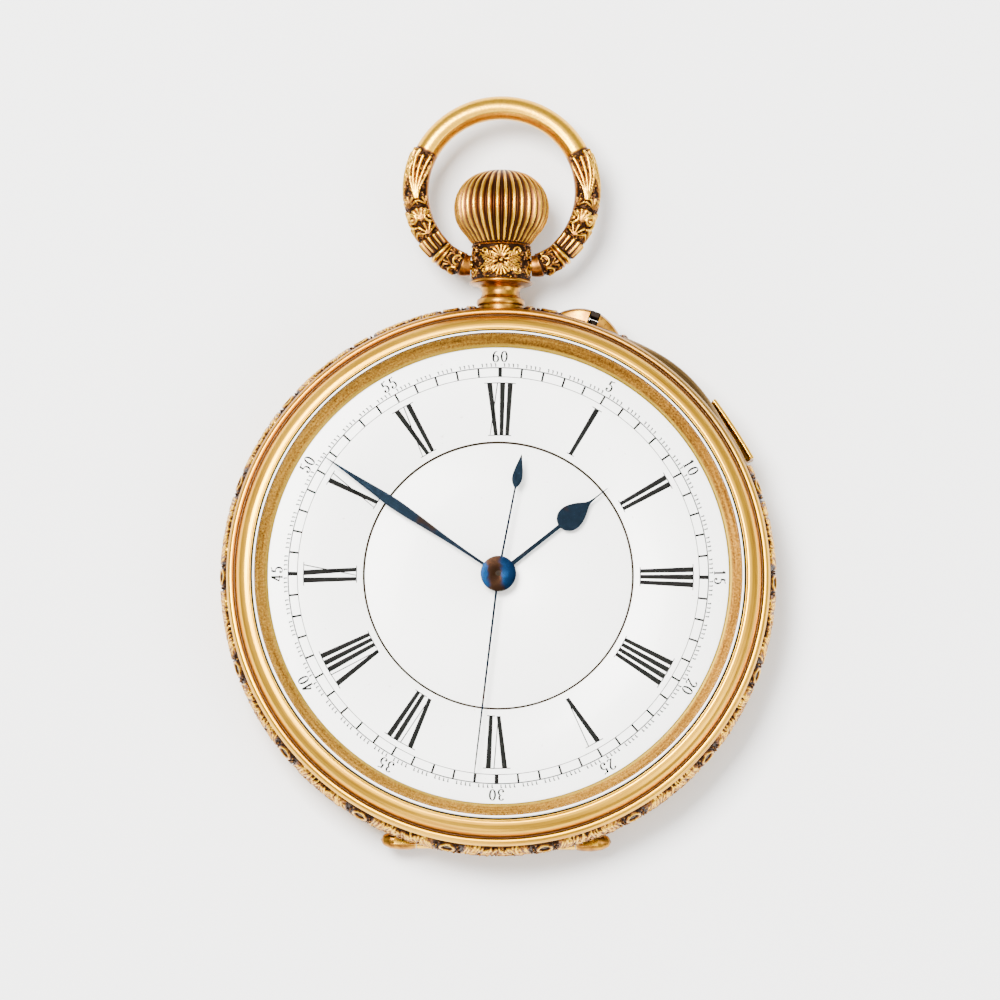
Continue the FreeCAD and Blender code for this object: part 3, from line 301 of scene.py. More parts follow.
def eye(x, y, size, height):
    """A raised ring with a shallow bowl and a string of beads round it."""
    ring = [from_point(x, y, size, angle) for angle in np.linspace(0, TAU, 25)]
    rows = stroke(ring, size * 0.27, size * 0.27, height, height)
    rows.append(bead(x, y, size * 0.75, height * 0.42))
    beads = 13
    for index in range(beads):
        rows.append(bead(*from_point(x, y, size * 1.62, index * TAU / beads), size * 0.2, height * 0.85))
    return rows


def cartouche(rng, half):
    """One repeat of the band's chasing: an eye on the shoulder among leaf fans, scrolls and flowers."""
    high = 0.36
    rows = eye(rng.uniform(-0.2, 0.2), 1.25, 0.72, high)
    for step in range(int(2 * half / 0.36)):
        x = -half + (step + 0.5) * 0.36 + rng.uniform(-0.08, 0.08)
        if abs(x) > 1.2:
            lean = rng.uniform(0.25, 0.55) * (1 if x > 0 else -1)
            foot = rng.uniform(0.45, 0.9)
            line = [(x, foot), (x + lean * 0.3, foot + 0.5), (x + lean, rng.uniform(1.7, 2.2))]
            rows += stroke(smooth_line(line, 3).tolist(), 0.08, rng.uniform(0.12, 0.18), rng.uniform(0.2, 0.34), 0.42)
    for _ in range(150):
        x = rng.uniform(-half, half)
        y = rng.uniform(-2.1, 2.1)
        if abs(x) > 1.35 or abs(y - 1.25) > 1.35:
            rows += crumb(x, y, rng.uniform(0, TAU), rng.uniform(0.1, 0.45), rng.uniform(0.09, 0.15),
                          rng.uniform(0.16, 0.38), rng.uniform(0.12, 0.3))
    rows += flower(0, -1.05, 0.85, 0.3, 7, rng.uniform(0, 1))
    rows += gadroons(-half, half, -2.1, -1.72, 0.14, 0.42, 0.13, 0.22)
    for side in (1, -1):
        out = 90 - side * 90
        wob = rng.uniform(-0.12, 0.12)
        rows += shell(side * 1.5, 1.55 + wob * 0.4, out + side * 12, 1.35, high, 9, 115)
        rows += shell(side * 3.0, 1.05 + wob, 90 - side * 35, 1.15, high, 8, 130)
        rows += leaf(side * 3.35, 0.75, 90 - side * 62, 1.7, 0.8, high, 5)
        rows += stroke(curl(side * 2.25, 0.25 + wob, 0.85, 0.15, 180 if side > 0 else 0,
                            (180 if side > 0 else 0) - side * 470, 18), 0.15, 0.12, high, 0.24)
        rows.append(capsule(side * 2.25, 0.25 + wob, side * 2.25 + 0.01, 0.25 + wob, 0.2, 0.2, 0.36, 0.36))
        rows += shell(side * 1.2, -1.35, -90 + side * 40, 0.95, 0.28, 6, 120)
        rows += stroke(curl(side * 3.2, -1.0 - wob, 0.75, 0.12, out, out + side * 450, 16), 0.14, 0.11, 0.3, 0.22)
        rows += leaf(side * 2.2, -0.55, out - side * 18, 1.9, 0.7, 0.3, 5)
        rows += flower(side * half, -0.35 + wob, 0.62, 0.3, 6, rng.uniform(0, 1))
        rows += shell(side * half, 0.75, 90, 1.2, high, 7, 160)
        rows += leaf(side * half, -0.9, -90, 0.95, 0.5, 0.28, 4)
    return rows


# ---- materials ---------------------------------------------------------------------------------------

class Nodes:
    """A short way to write a node tree."""

    def __init__(self, name):
        self.material = bpy.data.materials.new(name)
        self.material.use_nodes = True
        self.tree = self.material.node_tree
        self.tree.nodes.clear()
        self.out = self.tree.nodes.new("ShaderNodeOutputMaterial")
        self.shader = self.tree.nodes.new("ShaderNodeBsdfPrincipled")
        self.link(self.shader.outputs[0], self.out.inputs["Surface"])
        self.place = self.tree.nodes.new("ShaderNodeTexCoord").outputs["Object"]

    def link(self, source, target):
        self.tree.links.new(source, target)

    def put(self, socket, value):
        if isinstance(value, bpy.types.NodeSocket):
            self.link(value, socket)
        else:
            socket.default_value = value

    def set(self, **values):
        for key, value in values.items():
            self.put(self.shader.inputs[key.replace("_", " ")], value)

    def math(self, kind, first, second=0.0, clamp=False):
        node = self.tree.nodes.new("ShaderNodeMath")
        node.operation = kind
        node.use_clamp = clamp
        self.put(node.inputs[0], first)
        self.put(node.inputs[1], second)
        return node.outputs[0]

    def add(self, first, second, clamp=False):
        return self.math("ADD", first, second, clamp)

    def sub(self, first, second, clamp=False):
        return self.math("SUBTRACT", first, second, clamp)

    def mul(self, first, second, clamp=False):
        return self.math("MULTIPLY", first, second, clamp)

    def div(self, first, second, clamp=False):
        return self.math("DIVIDE", first, second, clamp)

    def noise(self, scale, detail=4.0, rough=0.55, vector=None):
        node = self.tree.nodes.new("ShaderNodeTexNoise")
        self.put(node.inputs["Vector"], vector or self.place)
        node.inputs["Scale"].default_value = scale
        node.inputs["Detail"].default_value = detail
        node.inputs["Roughness"].default_value = rough
        return node.outputs["Fac"]

    def ramp(self, source, stops):
        node = self.tree.nodes.new("ShaderNodeValToRGB")
        self.put(node.inputs["Fac"], source)
        table = node.color_ramp.elements
        while len(table) < len(stops):
            table.new(0.5)
        for element, (place, colour) in zip(table, stops):
            element.position = place
            element.color = (*colour, 1.0)
        return node.outputs["Color"]

    def mix(self, share, first, second):
        node = self.tree.nodes.new("ShaderNodeMix")
        node.data_type = "RGBA"
        self.put(node.inputs["Factor"], share)
        for socket, value in ((node.inputs[6], first), (node.inputs[7], second)):
            self.put(socket, (*value, 1.0) if isinstance(value, tuple) else value)
        return node.outputs[2]

    def field(self, name):
        node = self.tree.nodes.new("ShaderNodeAttribute")
        node.attribute_name = name
        return node.outputs["Fac"]

    def split(self):
        node = self.tree.nodes.new("ShaderNodeSeparateXYZ")
        self.link(self.place, node.inputs[0])
        return node.outputs

    def from_axis(self):
        """Distance from the watch's axis."""
        x, y = self.split()[:2]
        return self.math("SQRT", self.add(self.mul(x, x), self.mul(y, y)))

    def join(self, x, y, z):
        node = self.tree.nodes.new("ShaderNodeCombineXYZ")
        for socket, value in zip(node.inputs, (x, y, z)):
            self.put(socket, value)
        return node.outputs[0]

    def bump(self, height, strength, distance):
        node = self.tree.nodes.new("ShaderNodeBump")
        node.inputs["Strength"].default_value = strength
        node.inputs["Distance"].default_value = distance
        self.put(node.inputs["Height"], height)
        self.link(node.outputs[0], self.shader.inputs["Normal"])


GOLD = (0.66, 0.335, 0.014)
GOLD_LIGHT = (0.80, 0.455, 0.028)
GOLD_DEEP = (0.30, 0.115, 0.014)
BROWN = (0.11, 0.042, 0.014)
TARNISH = (0.022, 0.010, 0.005)
# Radii on the bezel, in metres: where its outer ring starts, and the groove inside that ring.
OUTER_RING = 0.0258
GROOVE = 0.02644


def turned_gold(name):
    """Satin gold with fine lines that run round the watch's axis; its outer ring is darker near two o'clock and on
    the upper left as painted shade with some tarnish, and its groove carries painted shade.
    """
    n = Nodes(name)
    x, y, z = n.split()
    radius = n.from_axis()
    rings = n.noise(1.0, 5.0, 0.7, n.join(n.mul(radius, 9000), n.mul(z, 9000), 0.0))
    drift = n.join(n.mul(x, 90), n.mul(y, 90), n.mul(radius, 6000))
    streak = n.noise(1.0, 4.0, 0.6, drift)
    wear = n.noise(160, 3.0)
    tone = n.ramp(streak, [(0.28, GOLD_DEEP), (0.48, GOLD), (0.72, GOLD_LIGHT)])
    tone = n.mix(n.mul(wear, 0.4), tone, GOLD)
    # Painted shade with some tarnish: the outer ring is darkened near two o'clock.
    lean = n.add(n.mul(x, 0.62), n.mul(y, 0.785))
    side = n.div(lean, radius)
    near = n.mul(n.sub(side, 0.80), 6.0, True)
    rim = n.mul(n.sub(radius, OUTER_RING), 1500.0, True)
    dull_shade = n.mul(n.mul(near, rim), n.add(streak, 0.25), True)
    tone = n.mix(dull_shade, tone, (0.16, 0.095, 0.035))
    # Painted shade with some tarnish: the outer ring is darkened on the upper left.
    upper_left = n.sub(n.mul(y, 0.9), n.mul(x, 0.45))
    upper_left_shade = n.mul(n.sub(n.div(upper_left, radius), 0.35), 2.0, True)
    tone = n.mix(n.mul(n.mul(upper_left_shade, rim), n.add(n.mul(streak, 0.7), 0.4)), tone, GOLD_DEEP)
    # Painted shade: a dark line along the groove of the outer ring.
    groove = n.math("ABSOLUTE", n.sub(radius, GROOVE))
    groove_shade = n.mul(n.sub(0.00026, groove), 5000.0, True)
    n.set(Base_Color=n.mix(groove_shade, tone, (0.11, 0.058, 0.024)), Metallic=1.0)
    n.set(Roughness=n.add(n.mul(wear, 0.16), 0.25))
    n.bump(n.add(rings, n.mul(streak, 0.6)), 0.3, 0.00002)
    return n.material


def smooth_gold(name):
    """Polished gold with faint handling marks."""
    n = Nodes(name)
    wear = n.noise(420, 5.0)
    fine = n.noise(5200, 3.0)
    tone = n.ramp(wear, [(0.3, GOLD), (0.7, GOLD_LIGHT)])
    n.set(Base_Color=tone, Metallic=1.0, Roughness=n.add(n.mul(fine, 0.14), 0.12))
    n.bump(fine, 0.12, 0.00001)
    return n.material


def chased_gold(name, stops, grit_share=0.42, patch_share=0.25, hollow=TARNISH):
    """Gold whose hollows keep the black of the chasing and whose tops are rubbed bright."""
    n = Nodes(name)
    depth = n.field("relief")
    grit = n.noise(4200, 4.0)
    patch = n.noise(1500, 4.0)
    level = n.add(depth, n.mul(n.sub(grit, 0.5), grit_share))
    level = n.add(level, n.mul(n.sub(patch, 0.5), patch_share))
    tone = n.ramp(level, list(zip(stops, (hollow, BROWN, GOLD_DEEP, GOLD, GOLD_LIGHT))))
    rough = n.sub(0.5, n.mul(depth, 0.26))
    n.set(Base_Color=tone, Metallic=1.0, Roughness=rough)
    n.bump(grit, 0.35, 0.00004)
    return n.material


def dull_gold(name):
    """The plain strip that the slide runs along: gold gone dark and olive between fine lines."""
    n = Nodes(name)
    x, y, z = n.split()
    streak = n.noise(1.0, 5.0, 0.7, n.join(n.mul(x, 60), n.mul(y, 60), n.mul(z, 7000)))
    patch = n.noise(420, 3.0)
    tone = n.ramp(streak, [(0.3, (0.04, 0.025, 0.010)), (0.5, (0.16, 0.09, 0.028)), (0.75, (0.45, 0.26, 0.06))])
    n.set(Base_Color=n.mix(n.mul(patch, 0.5), tone, (0.08, 0.05, 0.02)), Metallic=1.0, Roughness=0.34)
    n.bump(streak, 0.3, 0.00002)
    return n.material


def worn_gold(name):
    """Small fittings: gold darkened to brown as painted shade, with random wear and pits."""
    n = Nodes(name)
    wear = n.noise(900, 5.0)
    pits = n.noise(3500, 3.0)
    tone = n.ramp(wear, [(0.32, (0.15, 0.055, 0.010)), (0.5, (0.34, 0.15, 0.016)), (0.7, (0.52, 0.255, 0.014))])
    dark = n.mul(n.sub(pits, 0.62), 9.0, True)
    n.set(Base_Color=n.mix(dark, tone, TARNISH), Metallic=1.0, Roughness=0.3)
    n.bump(pits, 0.25, 0.00003)
    return n.material


def ground_glass(name):
    """A white ring at the rim of the glass: its ground bevel, white as a painted highlight."""
    n = Nodes(name)
    grain = n.noise(5000, 3.0)
    n.set(Base_Color=n.mix(grain, (0.98, 0.98, 0.97), (0.86, 0.87, 0.88)), Roughness=0.3)
    n.bump(grain, 0.2, 0.00001)
    return n.material


def flange_gold(name):
    """Matt, slightly freckled gold of the ring inside the glass, with painted light and shade: lighter on the left,
    darker on the right, and a painted highlight along its inner edge.
    """
    n = Nodes(name)
    x, y = n.split()[:2]
    radius = n.from_axis()
    grain = n.noise(5200, 4.0, 0.7)
    sweep = n.noise(1.0, 4.0, 0.6, n.join(n.mul(x, 120), n.mul(y, 120), n.mul(radius, 5000)))
    level = n.add(n.mul(grain, 0.6), n.mul(sweep, 0.4))
    # Painted highlight: yellower gold along the inner edge.
    inner_edge_highlight = n.mul(n.sub(0.02345, radius), 4000.0, True)
    pale = n.ramp(level, [(0.38, (0.07, 0.03, 0.004)), (0.5, (0.22, 0.105, 0.013)), (0.64, (0.42, 0.22, 0.03))])
    dull_shade = n.ramp(level, [(0.38, (0.028, 0.010, 0.002)), (0.5, (0.080, 0.034, 0.004)), (0.64, (0.17, 0.080, 0.010))])
    # Painted light and shade: lighter on the left, darker on the right.
    lean = n.add(n.mul(x, 0.85), n.mul(y, 0.2))
    east_shade = n.add(0.5, n.mul(n.div(lean, radius), 0.8), True)
    tone = n.mix(east_shade, pale, dull_shade)
    n.set(Base_Color=n.mix(n.mul(inner_edge_highlight, 0.6), tone, (0.42, 0.28, 0.03)), Metallic=1.0, Roughness=0.4)
    n.bump(grain, 0.35, 0.00004)
    return n.material


def enamel(name):
    """White enamel with faint clouds and specks."""
    n = Nodes(name)
    cloud = n.noise(240, 3.0)
    speck = n.noise(2600, 2.0, 0.4)
    dots = n.ramp(speck, [(0.0, (0.0, 0.0, 0.0)), (0.735, (0.0, 0.0, 0.0)), (0.77, (1.0, 1.0, 1.0))])
    white = n.mix(cloud, (0.92, 0.915, 0.89), (0.95, 0.948, 0.93))
    n.set(Base_Color=n.mix(n.mul(dots, 0.35), white, (0.45, 0.42, 0.36)), Roughness=0.3)
    n.set(Coat_Weight=0.1, Coat_Roughness=0.06)
    n.bump(cloud, 0.05, 0.00005)
    return n.material


def ink(name, colour=(0.004, 0.004, 0.0035)):
    """Matt black, a little uneven."""
    n = Nodes(name)
    patch = n.noise(900, 4.0)
    pale = tuple(2.2 * part for part in colour)
    n.set(Base_Color=n.mix(n.mul(patch, 0.5), colour, pale), Roughness=0.7, Specular_IOR_Level=0.05)
    n.bump(patch, 0.02, 0.000005)
    return n.material


def hub_steel(name):
    """The middle of the seconds hand: blue at its edge, gone brown across the middle."""
    n = Nodes(name)
    x, y = n.split()[:2]
    fine = n.noise(2600, 4.0)
    across = n.math("ABSOLUTE", n.add(n.add(x, 0.00035), n.mul(y, 0.12)))
    reach = n.add(across, n.mul(n.sub(fine, 0.5), 0.0011))
    brown = n.mul(n.sub(0.00078, reach), 5000.0, True)
    blue = n.mix(fine, (0.0010, 0.0036, 0.011), (0.0018, 0.0085, 0.025))
    n.set(Base_Color=n.mix(brown, blue, (0.0085, 0.0040, 0.0022)), Metallic=1.0)
    n.set(Roughness=n.add(0.18, n.mul(fine, 0.1)))
    n.bump(fine, 0.08, 0.00001)
    return n.material


def blued(name):
    """Heat-blued steel with brown spots."""
    n = Nodes(name)
    patch = n.noise(330, 5.0, 0.6)
    fine = n.noise(3000, 4.0)
    blue = n.mix(fine, (0.0050, 0.0082, 0.0125), (0.0075, 0.0145, 0.024))
    spots = n.ramp(patch, [(0.6, (0.0, 0.0, 0.0)), (0.69, (1.0, 1.0, 1.0))])
    n.set(Base_Color=n.mix(spots, blue, (0.020, 0.010, 0.0055)), Metallic=1.0)
    n.set(Roughness=n.add(0.09, n.mul(fine, 0.06)))
    n.bump(fine, 0.05, 0.00001)
    return n.material


def glass(name):
    """Thin clear glass: nothing shows face on, and reflections grow towards the rim of the view."""
    n = Nodes(name)
    smear = n.noise(60, 3.0)
    n.set(Base_Color=(1.0, 1.0, 1.0, 1.0), Roughness=0.03, Metallic=1.0)
    facing = n.tree.nodes.new("ShaderNodeFresnel")
    facing.inputs["IOR"].default_value = 1.45
    n.set(Alpha=n.mul(n.sub(facing.outputs[0], 0.036), 0.7, True))
    n.bump(smear, 0.02, 0.0001)
    return n.material


def steel(name):
    """Polished steel with fine lines of one direction."""
    tint = (0.62, 0.62, 0.64)
    n = Nodes(name)
    fine = n.noise(4200, 3.0)
    along = n.join(*[n.mul(axis, size) for axis, size in zip(n.split(), (9000, 700, 900))])
    streak = n.noise(1.0, 3.0, 0.6, along)
    n.set(Base_Color=n.mix(fine, tint, tuple(0.82 * part for part in tint)), Metallic=1.0)
    n.set(Roughness=n.add(0.18, n.mul(streak, 0.12)))
    n.bump(streak, 0.15, 0.00001)
    return n.material


def gilt(name):
    """Matt gilt plates with a fine grain."""
    n = Nodes(name)
    grain = n.noise(6500, 3.0)
    cloud = n.noise(140, 3.0)
    tone = n.mix(cloud, (0.72, 0.46, 0.17), (0.86, 0.60, 0.27))
    n.set(Base_Color=tone, Metallic=1.0, Roughness=n.add(0.3, n.mul(grain, 0.15)))
    n.bump(grain, 0.4, 0.00002)
    return n.material


def ruby(name):
    """Clear red stone of the bearings and pallets."""
    n = Nodes(name)
    cloud = n.noise(900, 2.0)
    n.set(Base_Color=n.mix(cloud, (0.45, 0.01, 0.04), (0.62, 0.03, 0.09)), Roughness=0.08)
    n.set(Coat_Weight=0.5, Coat_Roughness=0.03)
    return n.material


def give(piece, material, sharp=None):
    """Set a piece's material, and keep corners over the sharp angle crisp."""
    if sharp:
        piece.data.set_sharp_from_angle(angle=math.radians(sharp))
    piece.data.materials.clear()
    piece.data.materials.append(material)
    return piece


TURNED = turned_gold("turned_gold")
SMOOTH = smooth_gold("smooth_gold")
CHASED = chased_gold("chased_gold", (0.16, 0.42, 0.6, 0.8, 1.0))
CRUMBLED = chased_gold("chased_gold_dark", (0.42, 0.66, 0.8, 0.93, 1.0), 0.55, 0.5)
RIBBED = chased_gold("ribbed_gold", (0.2, 0.4, 0.6, 0.8, 0.95), 0.34, 0.3, (0.07, 0.025, 0.010))
ENGRAVED = chased_gold("engraved_gold", (0.04, 0.3, 0.5, 0.74, 0.95))
FLANGE = flange_gold("flange_gold")
ENAMEL = enamel("white_enamel")
INK = ink("numeral_enamel")
JOINT = ink("dial_joint_shadow", (0.013, 0.009, 0.005))
BLUED = blued("blued_steel")
BLUED_HUB = hub_steel("blued_steel_hub")
GLASS = glass("crystal_glass")
BEVEL = ground_glass("ground_glass")
RUNWAY_GOLD = dull_gold("dulled_gold")
WORN_SHADED = worn_gold("worn_gold")
STEEL = steel("polished_steel")
GILT = gilt("gilt_brass")
RUBY = ruby("ruby")
SLOT_LOOKS = {
    "antique_gold": SMOOTH, "gilt_brass": GILT, "polished_steel": STEEL, "blued_steel": BLUED,
    "white_enamel": ENAMEL, "ruby": RUBY, "crystal_glass": GLASS,
}


def dress_node(name, material):
    """Give a CAD node that stays in view one of the materials above."""
    node = frame["nodes"][name]
    node = node if hasattr(node, "material_slots") else bpy.data.objects[node]
    for place in node.material_slots:
        place.material = material


for sub in frame["record"]["subparts"]:
    dress_node(sub["node"], SLOT_LOOKS[sub["material_slot"]])

# ---- camera, light and floor -----------------------------------------------------------------------

FRAME_MM = 100.0
CAMERA_AWAY = 3.0
ELEVATION = math.radians(81.5)
camera_data = bpy.data.cameras.new("camera")
camera_data.sensor_width = 36
camera_data.lens = 36 * CAMERA_AWAY / (FRAME_MM * MM)
camera_data.clip_start = 0.05
camera_data.clip_end = 20
camera = bpy.data.objects.new("camera", camera_data)
bpy.context.scene.collection.objects.link(camera)
sight = Vector((0, -math.cos(ELEVATION), math.sin(ELEVATION)))
# The dial's centre sits a little below the middle of the view.
aim = Vector((0.0001, 0.0074 / math.sin(ELEVATION), 0.0104))
camera.location = aim + sight * CAMERA_AWAY
look = (-sight).to_track_quat("-Z", "Y").to_matrix().to_4x4()
camera.rotation_euler = look.to_euler()
camera.rotation_euler.rotate_axis("Z", math.radians(0.5))
bpy.context.scene.camera = camera


def area(name, place, size, power, colour=(1, 1, 1)):
    """A square light that faces the watch."""
    data = bpy.data.lights.new(name, "AREA")
    data.energy = power
    data.color = colour
    data.size = size
    lamp = bpy.data.objects.new(name, data)
    lamp.location = place
    lamp.rotation_euler = (-Vector(place)).to_track_quat("-Z", "Y").to_euler()
    bpy.context.scene.collection.objects.link(lamp)


area("key", (-0.23, 0.18, 0.80), 0.32, 26.0, (1.0, 0.985, 0.96))
area("top", (0.0, 0.1, 1.3), 1.5, 12.0)
area("fill", (0.50, -0.30, 0.55), 0.4, 3.4, (0.97, 0.985, 1.0))
area("front", (-0.15, -0.70, 0.30), 0.3, 1.8)
world = bpy.data.worlds.new("studio")
world.use_nodes = True
world.node_tree.nodes["Background"].inputs["Color"].default_value = (1.0, 1.0, 1.0, 1.0)
world.node_tree.nodes["Background"].inputs["Strength"].default_value = 0.85
bpy.context.scene.world = world

floor_mesh = bpy.data.meshes.new("floor")
floor_level = -3e-5
floor_corners = [(x, y, floor_level) for x, y in ((-3, -3), (3, -3), (3, 3), (-3, 3))]
floor_mesh.from_pydata(floor_corners, [], [(0, 1, 2, 3)])
floor = bpy.data.objects.new("floor", floor_mesh)
bpy.context.scene.collection.objects.link(floor)
paper = Nodes("paper")
grain = paper.noise(60, 2.0)
paper.set(Base_Color=paper.mix(grain, (0.93, 0.93, 0.93), (0.945, 0.945, 0.945)), Roughness=0.9)
give(floor, paper.material)

# ---- band -------------------------------------------------------------------------------------------

REPEATS = 18
BAND_Z = (3.62, 8.1)
RUNWAY = (25.0, 62.4)
PUSH_ANGLE = 70.6
band_profile = np.array([(3.5, 26.92), (4.2, 27.28), (5.2, 27.47), (6.4, 27.49), (7.0, 27.46), (7.6, 27.28),
                         (8.2, 26.92)])


def fade(value, low, high):
    """Smooth step from 0 at low to 1 at high."""
    share = np.clip((value - low) / (high - low), 0, 1)
    return share * share * (3 - 2 * share)


def turn_gap(angle, middle):
    """Unsigned difference of two directions, in degrees."""
    return np.abs((angle - middle + 180) % 360 - 180)


def band_piece(name, first, last):
    """One length of the chased band, with its ornament as relief."""
    columns = int((last - first) * 8.2)
    rows = 64
    angle, share = mesh_grid(np.linspace(first, last, columns), np.linspace(0, 1, rows))
    hinge = 1 - fade(turn_gap(angle, 270), 22.6, 23.4)
    low = BAND_Z[0] + (4.02 - BAND_Z[0]) * hinge
    level = low + (BAND_Z[1] - low) * share
    base = np.interp(level, band_profile[:, 0], band_profile[:, 1]) + 0.03
    spread = TAU * 27.6 / REPEATS

    def ornament(index):
        return cartouche(np.random.default_rng(900 + index % REPEATS), spread / 2)

    height = repeated_relief(np.radians(angle) * 27.6, level - 5.86, spread, ornament)
    border = np.maximum(1 - np.abs(level - 7.98) / 0.13, 0) * 0.2
    border = np.maximum(border, np.maximum(1 - np.abs(level - (low + 0.12)) / 0.13, 0) * 0.2)
    height = np.maximum(height, border)
    quiet = np.minimum(fade(turn_gap(angle, 90), 4.2, 6.0), fade(turn_gap(angle, PUSH_ANGLE), 6.0, 7.4))
    height = height * (0.12 + 0.88 * quiet)
    radius = base + height
    edge = np.minimum(fade(share, 0, 0.03), fade(1 - share, 0, 0.03))
    radius = base - 0.12 + (radius - base + 0.12) * edge
    radius = radius - 0.16 * (1 - fade(turn_gap(angle, PUSH_ANGLE), 1.15, 1.45))
    outer = upright(radius, np.radians(angle), level)
    inner = upright(base[:, [-1, 0]] - 0.35, np.radians(angle[:, [0, 0]]), level[:, [-1, 0]])
    loop = np.concatenate([outer, inner], axis=1)
    tone = np.concatenate([height / 0.36, np.zeros((columns, 2))], axis=1)
    faces = swept_faces(columns, rows + 2)
    piece = make_mesh(name, loop.reshape(-1, 3), faces, "case", fields={"relief": tone.ravel()})
    return give(piece, CRUMBLED, 60)


ends = np.linspace(RUNWAY[1], 360 + RUNWAY[0], 5)
for index in range(4):
    band_piece(f"band_chasing_{index + 1}", ends[index], ends[index + 1])


def arc_bar(name, section, first, last, body, material, hides=(), steps=90, ends=0.12, chord=None):
    """A bar of the given (radius, height) section bent round the watch's axis, its ends softly rounded."""
    profile = np.array(section, dtype=float)
    middle = profile.mean(axis=0)
    turn = np.linspace(first, last, steps)
    reach = np.minimum(turn - first, last - turn) * math.radians(1) * middle[0]
    scale = np.sqrt(np.clip(1 - (1 - np.clip(reach / ends, 0, 1)) ** 2, 0.0, 1)) * 0.14 + 0.86
    points = []
    for angle, size in zip(np.radians(turn), scale):
        stretch = 1 / math.cos(0.75 * (angle - math.radians(chord))) if chord else 1.0
        for radius, height in (profile - middle) * size + middle:
            points.append((radius * stretch * math.cos(angle), radius * stretch * math.sin(angle), height))
    piece = make_mesh(name, points, swept_faces(steps, len(profile)), body, hides)
    weld(piece, 1e-8)
    return give(piece, material, 40)


upper_strip = [(27.2, 5.5), (27.46, 5.5), (27.5, 5.56), (27.5, 6.9), (27.56, 7.15), (27.5, 7.5), (27.32, 7.85),
               (27.05, 8.12), (26.8, 8.12), (26.8, 7.6)]
arc_bar("band_plain_front", upper_strip, *RUNWAY, "case", RUNWAY_GOLD)
lower_strip = [(26.9, 3.6), (27.0, 3.6), (27.3, 4.1), (27.44, 4.5), (27.2, 4.56)]
arc_bar("band_plain_back", lower_strip, *RUNWAY, "case", RUNWAY_GOLD)


def lens_boss(name, first, last, material):
    """The plain swelling of the band above the slide: a long lens with a thin bright upper edge."""
    steps = 120
    points = []
    for angle in np.linspace(first, last, steps):
        rise = 0.5 * math.sin(math.pi * (angle - first) / (last - first)) ** 1.3 if first < angle < last else 0.0
        loop = [(26.9, 7.0), (27.5 + rise * 0.75, 7.0), (27.52 + rise, 7.16), (27.53 + rise, 7.4),
                (27.46 + rise, 7.56), (27.36 + rise * 0.7, 7.72), (27.2, 8.0), (26.9, 8.14)]
        points += ring_points(loop, angle)
    piece = make_mesh(name, points, swept_faces(steps, len(loop)), "case")
    weld(piece, 1e-8)
    return give(piece, material, 60)


lens_boss("band_boss", 34.5, 63.6, RUNWAY_GOLD)

# The slide's bar, with its dished top, is in the darker worn gold as painted shade; the ridge on top keeps the bright
# gold.
slide_body = round_corners([(27.53, 4.35), (28.2, 4.35), (28.28, 4.6), (28.28, 6.5), (27.9, 6.45), (27.78, 6.2),
                            (27.53, 6.1)], 0.05, 3)
SLIDE_ENDS = (26.2, 40.6)
SLIDE_MIDDLE = 33.4
arc_bar("stop_slide_bar", slide_body, *SLIDE_ENDS, "stop_slide", WORN_SHADED, ("stop_slide",), 120, 0.3, SLIDE_MIDDLE)
slide_ridge = round_corners([(27.82, 6.4), (28.29, 6.4), (28.33, 6.62), (28.24, 6.84), (28.0, 6.92), (27.84, 6.8)],
                            0.08, 3)
arc_bar("stop_slide_ridge", slide_ridge, *SLIDE_ENDS, "stop_slide", SMOOTH, (), 120, 0.3, SLIDE_MIDDLE)

GUARD_ENDS = (63.9, 78.8)
GAP_HALF = 1.08


def guard_lobe(name, first, last, hides=()):
    """One half of the boat-shaped guard beside the push piece."""
    steps = 60
    middle = 5.35
    points = []
    for index in range(steps):
        angle = first + (last - first) * index / (steps - 1)
        share = (angle - GUARD_ENDS[0]) / (GUARD_ENDS[1] - GUARD_ENDS[0])
        rise = 1.5 * math.sin(math.pi * min(max(share, 0.0), 1.0)) ** 0.8
        outer = 27.42 + rise
        half = 0.35 + 1.15 * (rise / 1.5) ** 0.7
        loop = [(27.3, middle - half), (outer - 0.25, middle - half), (outer, middle - half * 0.6),
                (outer, middle + half * 0.6), (outer - 0.25, middle + half), (27.3, middle + half)]
        loop = round_corners(loop, 0.14, 3)
        points += ring_points(loop, angle)
    piece = make_mesh(name, points, swept_faces(steps, len(loop)), "case", hides)
    weld(piece, 1e-8)
    return give(piece, WORN_SHADED, 45)


# The guard's lobes are in the darker worn gold, partly painted shade.
guard_lobe("push_guard_lobe_right", GUARD_ENDS[0], PUSH_ANGLE - GAP_HALF, ("push_guard",))
guard_lobe("push_guard_lobe_left", PUSH_ANGLE + GAP_HALF, GUARD_ENDS[1])
# Black standing in for shade: the well and the push piece's cap in the gap of the guard, and the end of the seconds
# arbor in the middle of the hands.
SHADE_BLACK = ink("push_piece_painted_shade", (0.010, 0.007, 0.005))
well = [(26.9, 3.7), (28.2, 3.7), (28.2, 4.03), (26.9, 4.03)]
arc_bar("push_guard_well", well, PUSH_ANGLE - GAP_HALF - 0.1, PUSH_ANGLE + GAP_HALF + 0.1, "case", SHADE_BLACK, (), 12)
cap_section = round_corners([(28.32, 4.1), (28.86, 4.1), (28.9, 5.3), (28.86, 6.55), (28.32, 6.55)], 0.08, 3)
arc_bar("push_piece_cap", cap_section, PUSH_ANGLE - GAP_HALF + 0.04, PUSH_ANGLE + GAP_HALF - 0.04, "push_piece",
        SHADE_BLACK, (), 12, 0.05)
dress_node("push_piece", SHADE_BLACK)
dress_node("seconds_arbor", SHADE_BLACK)

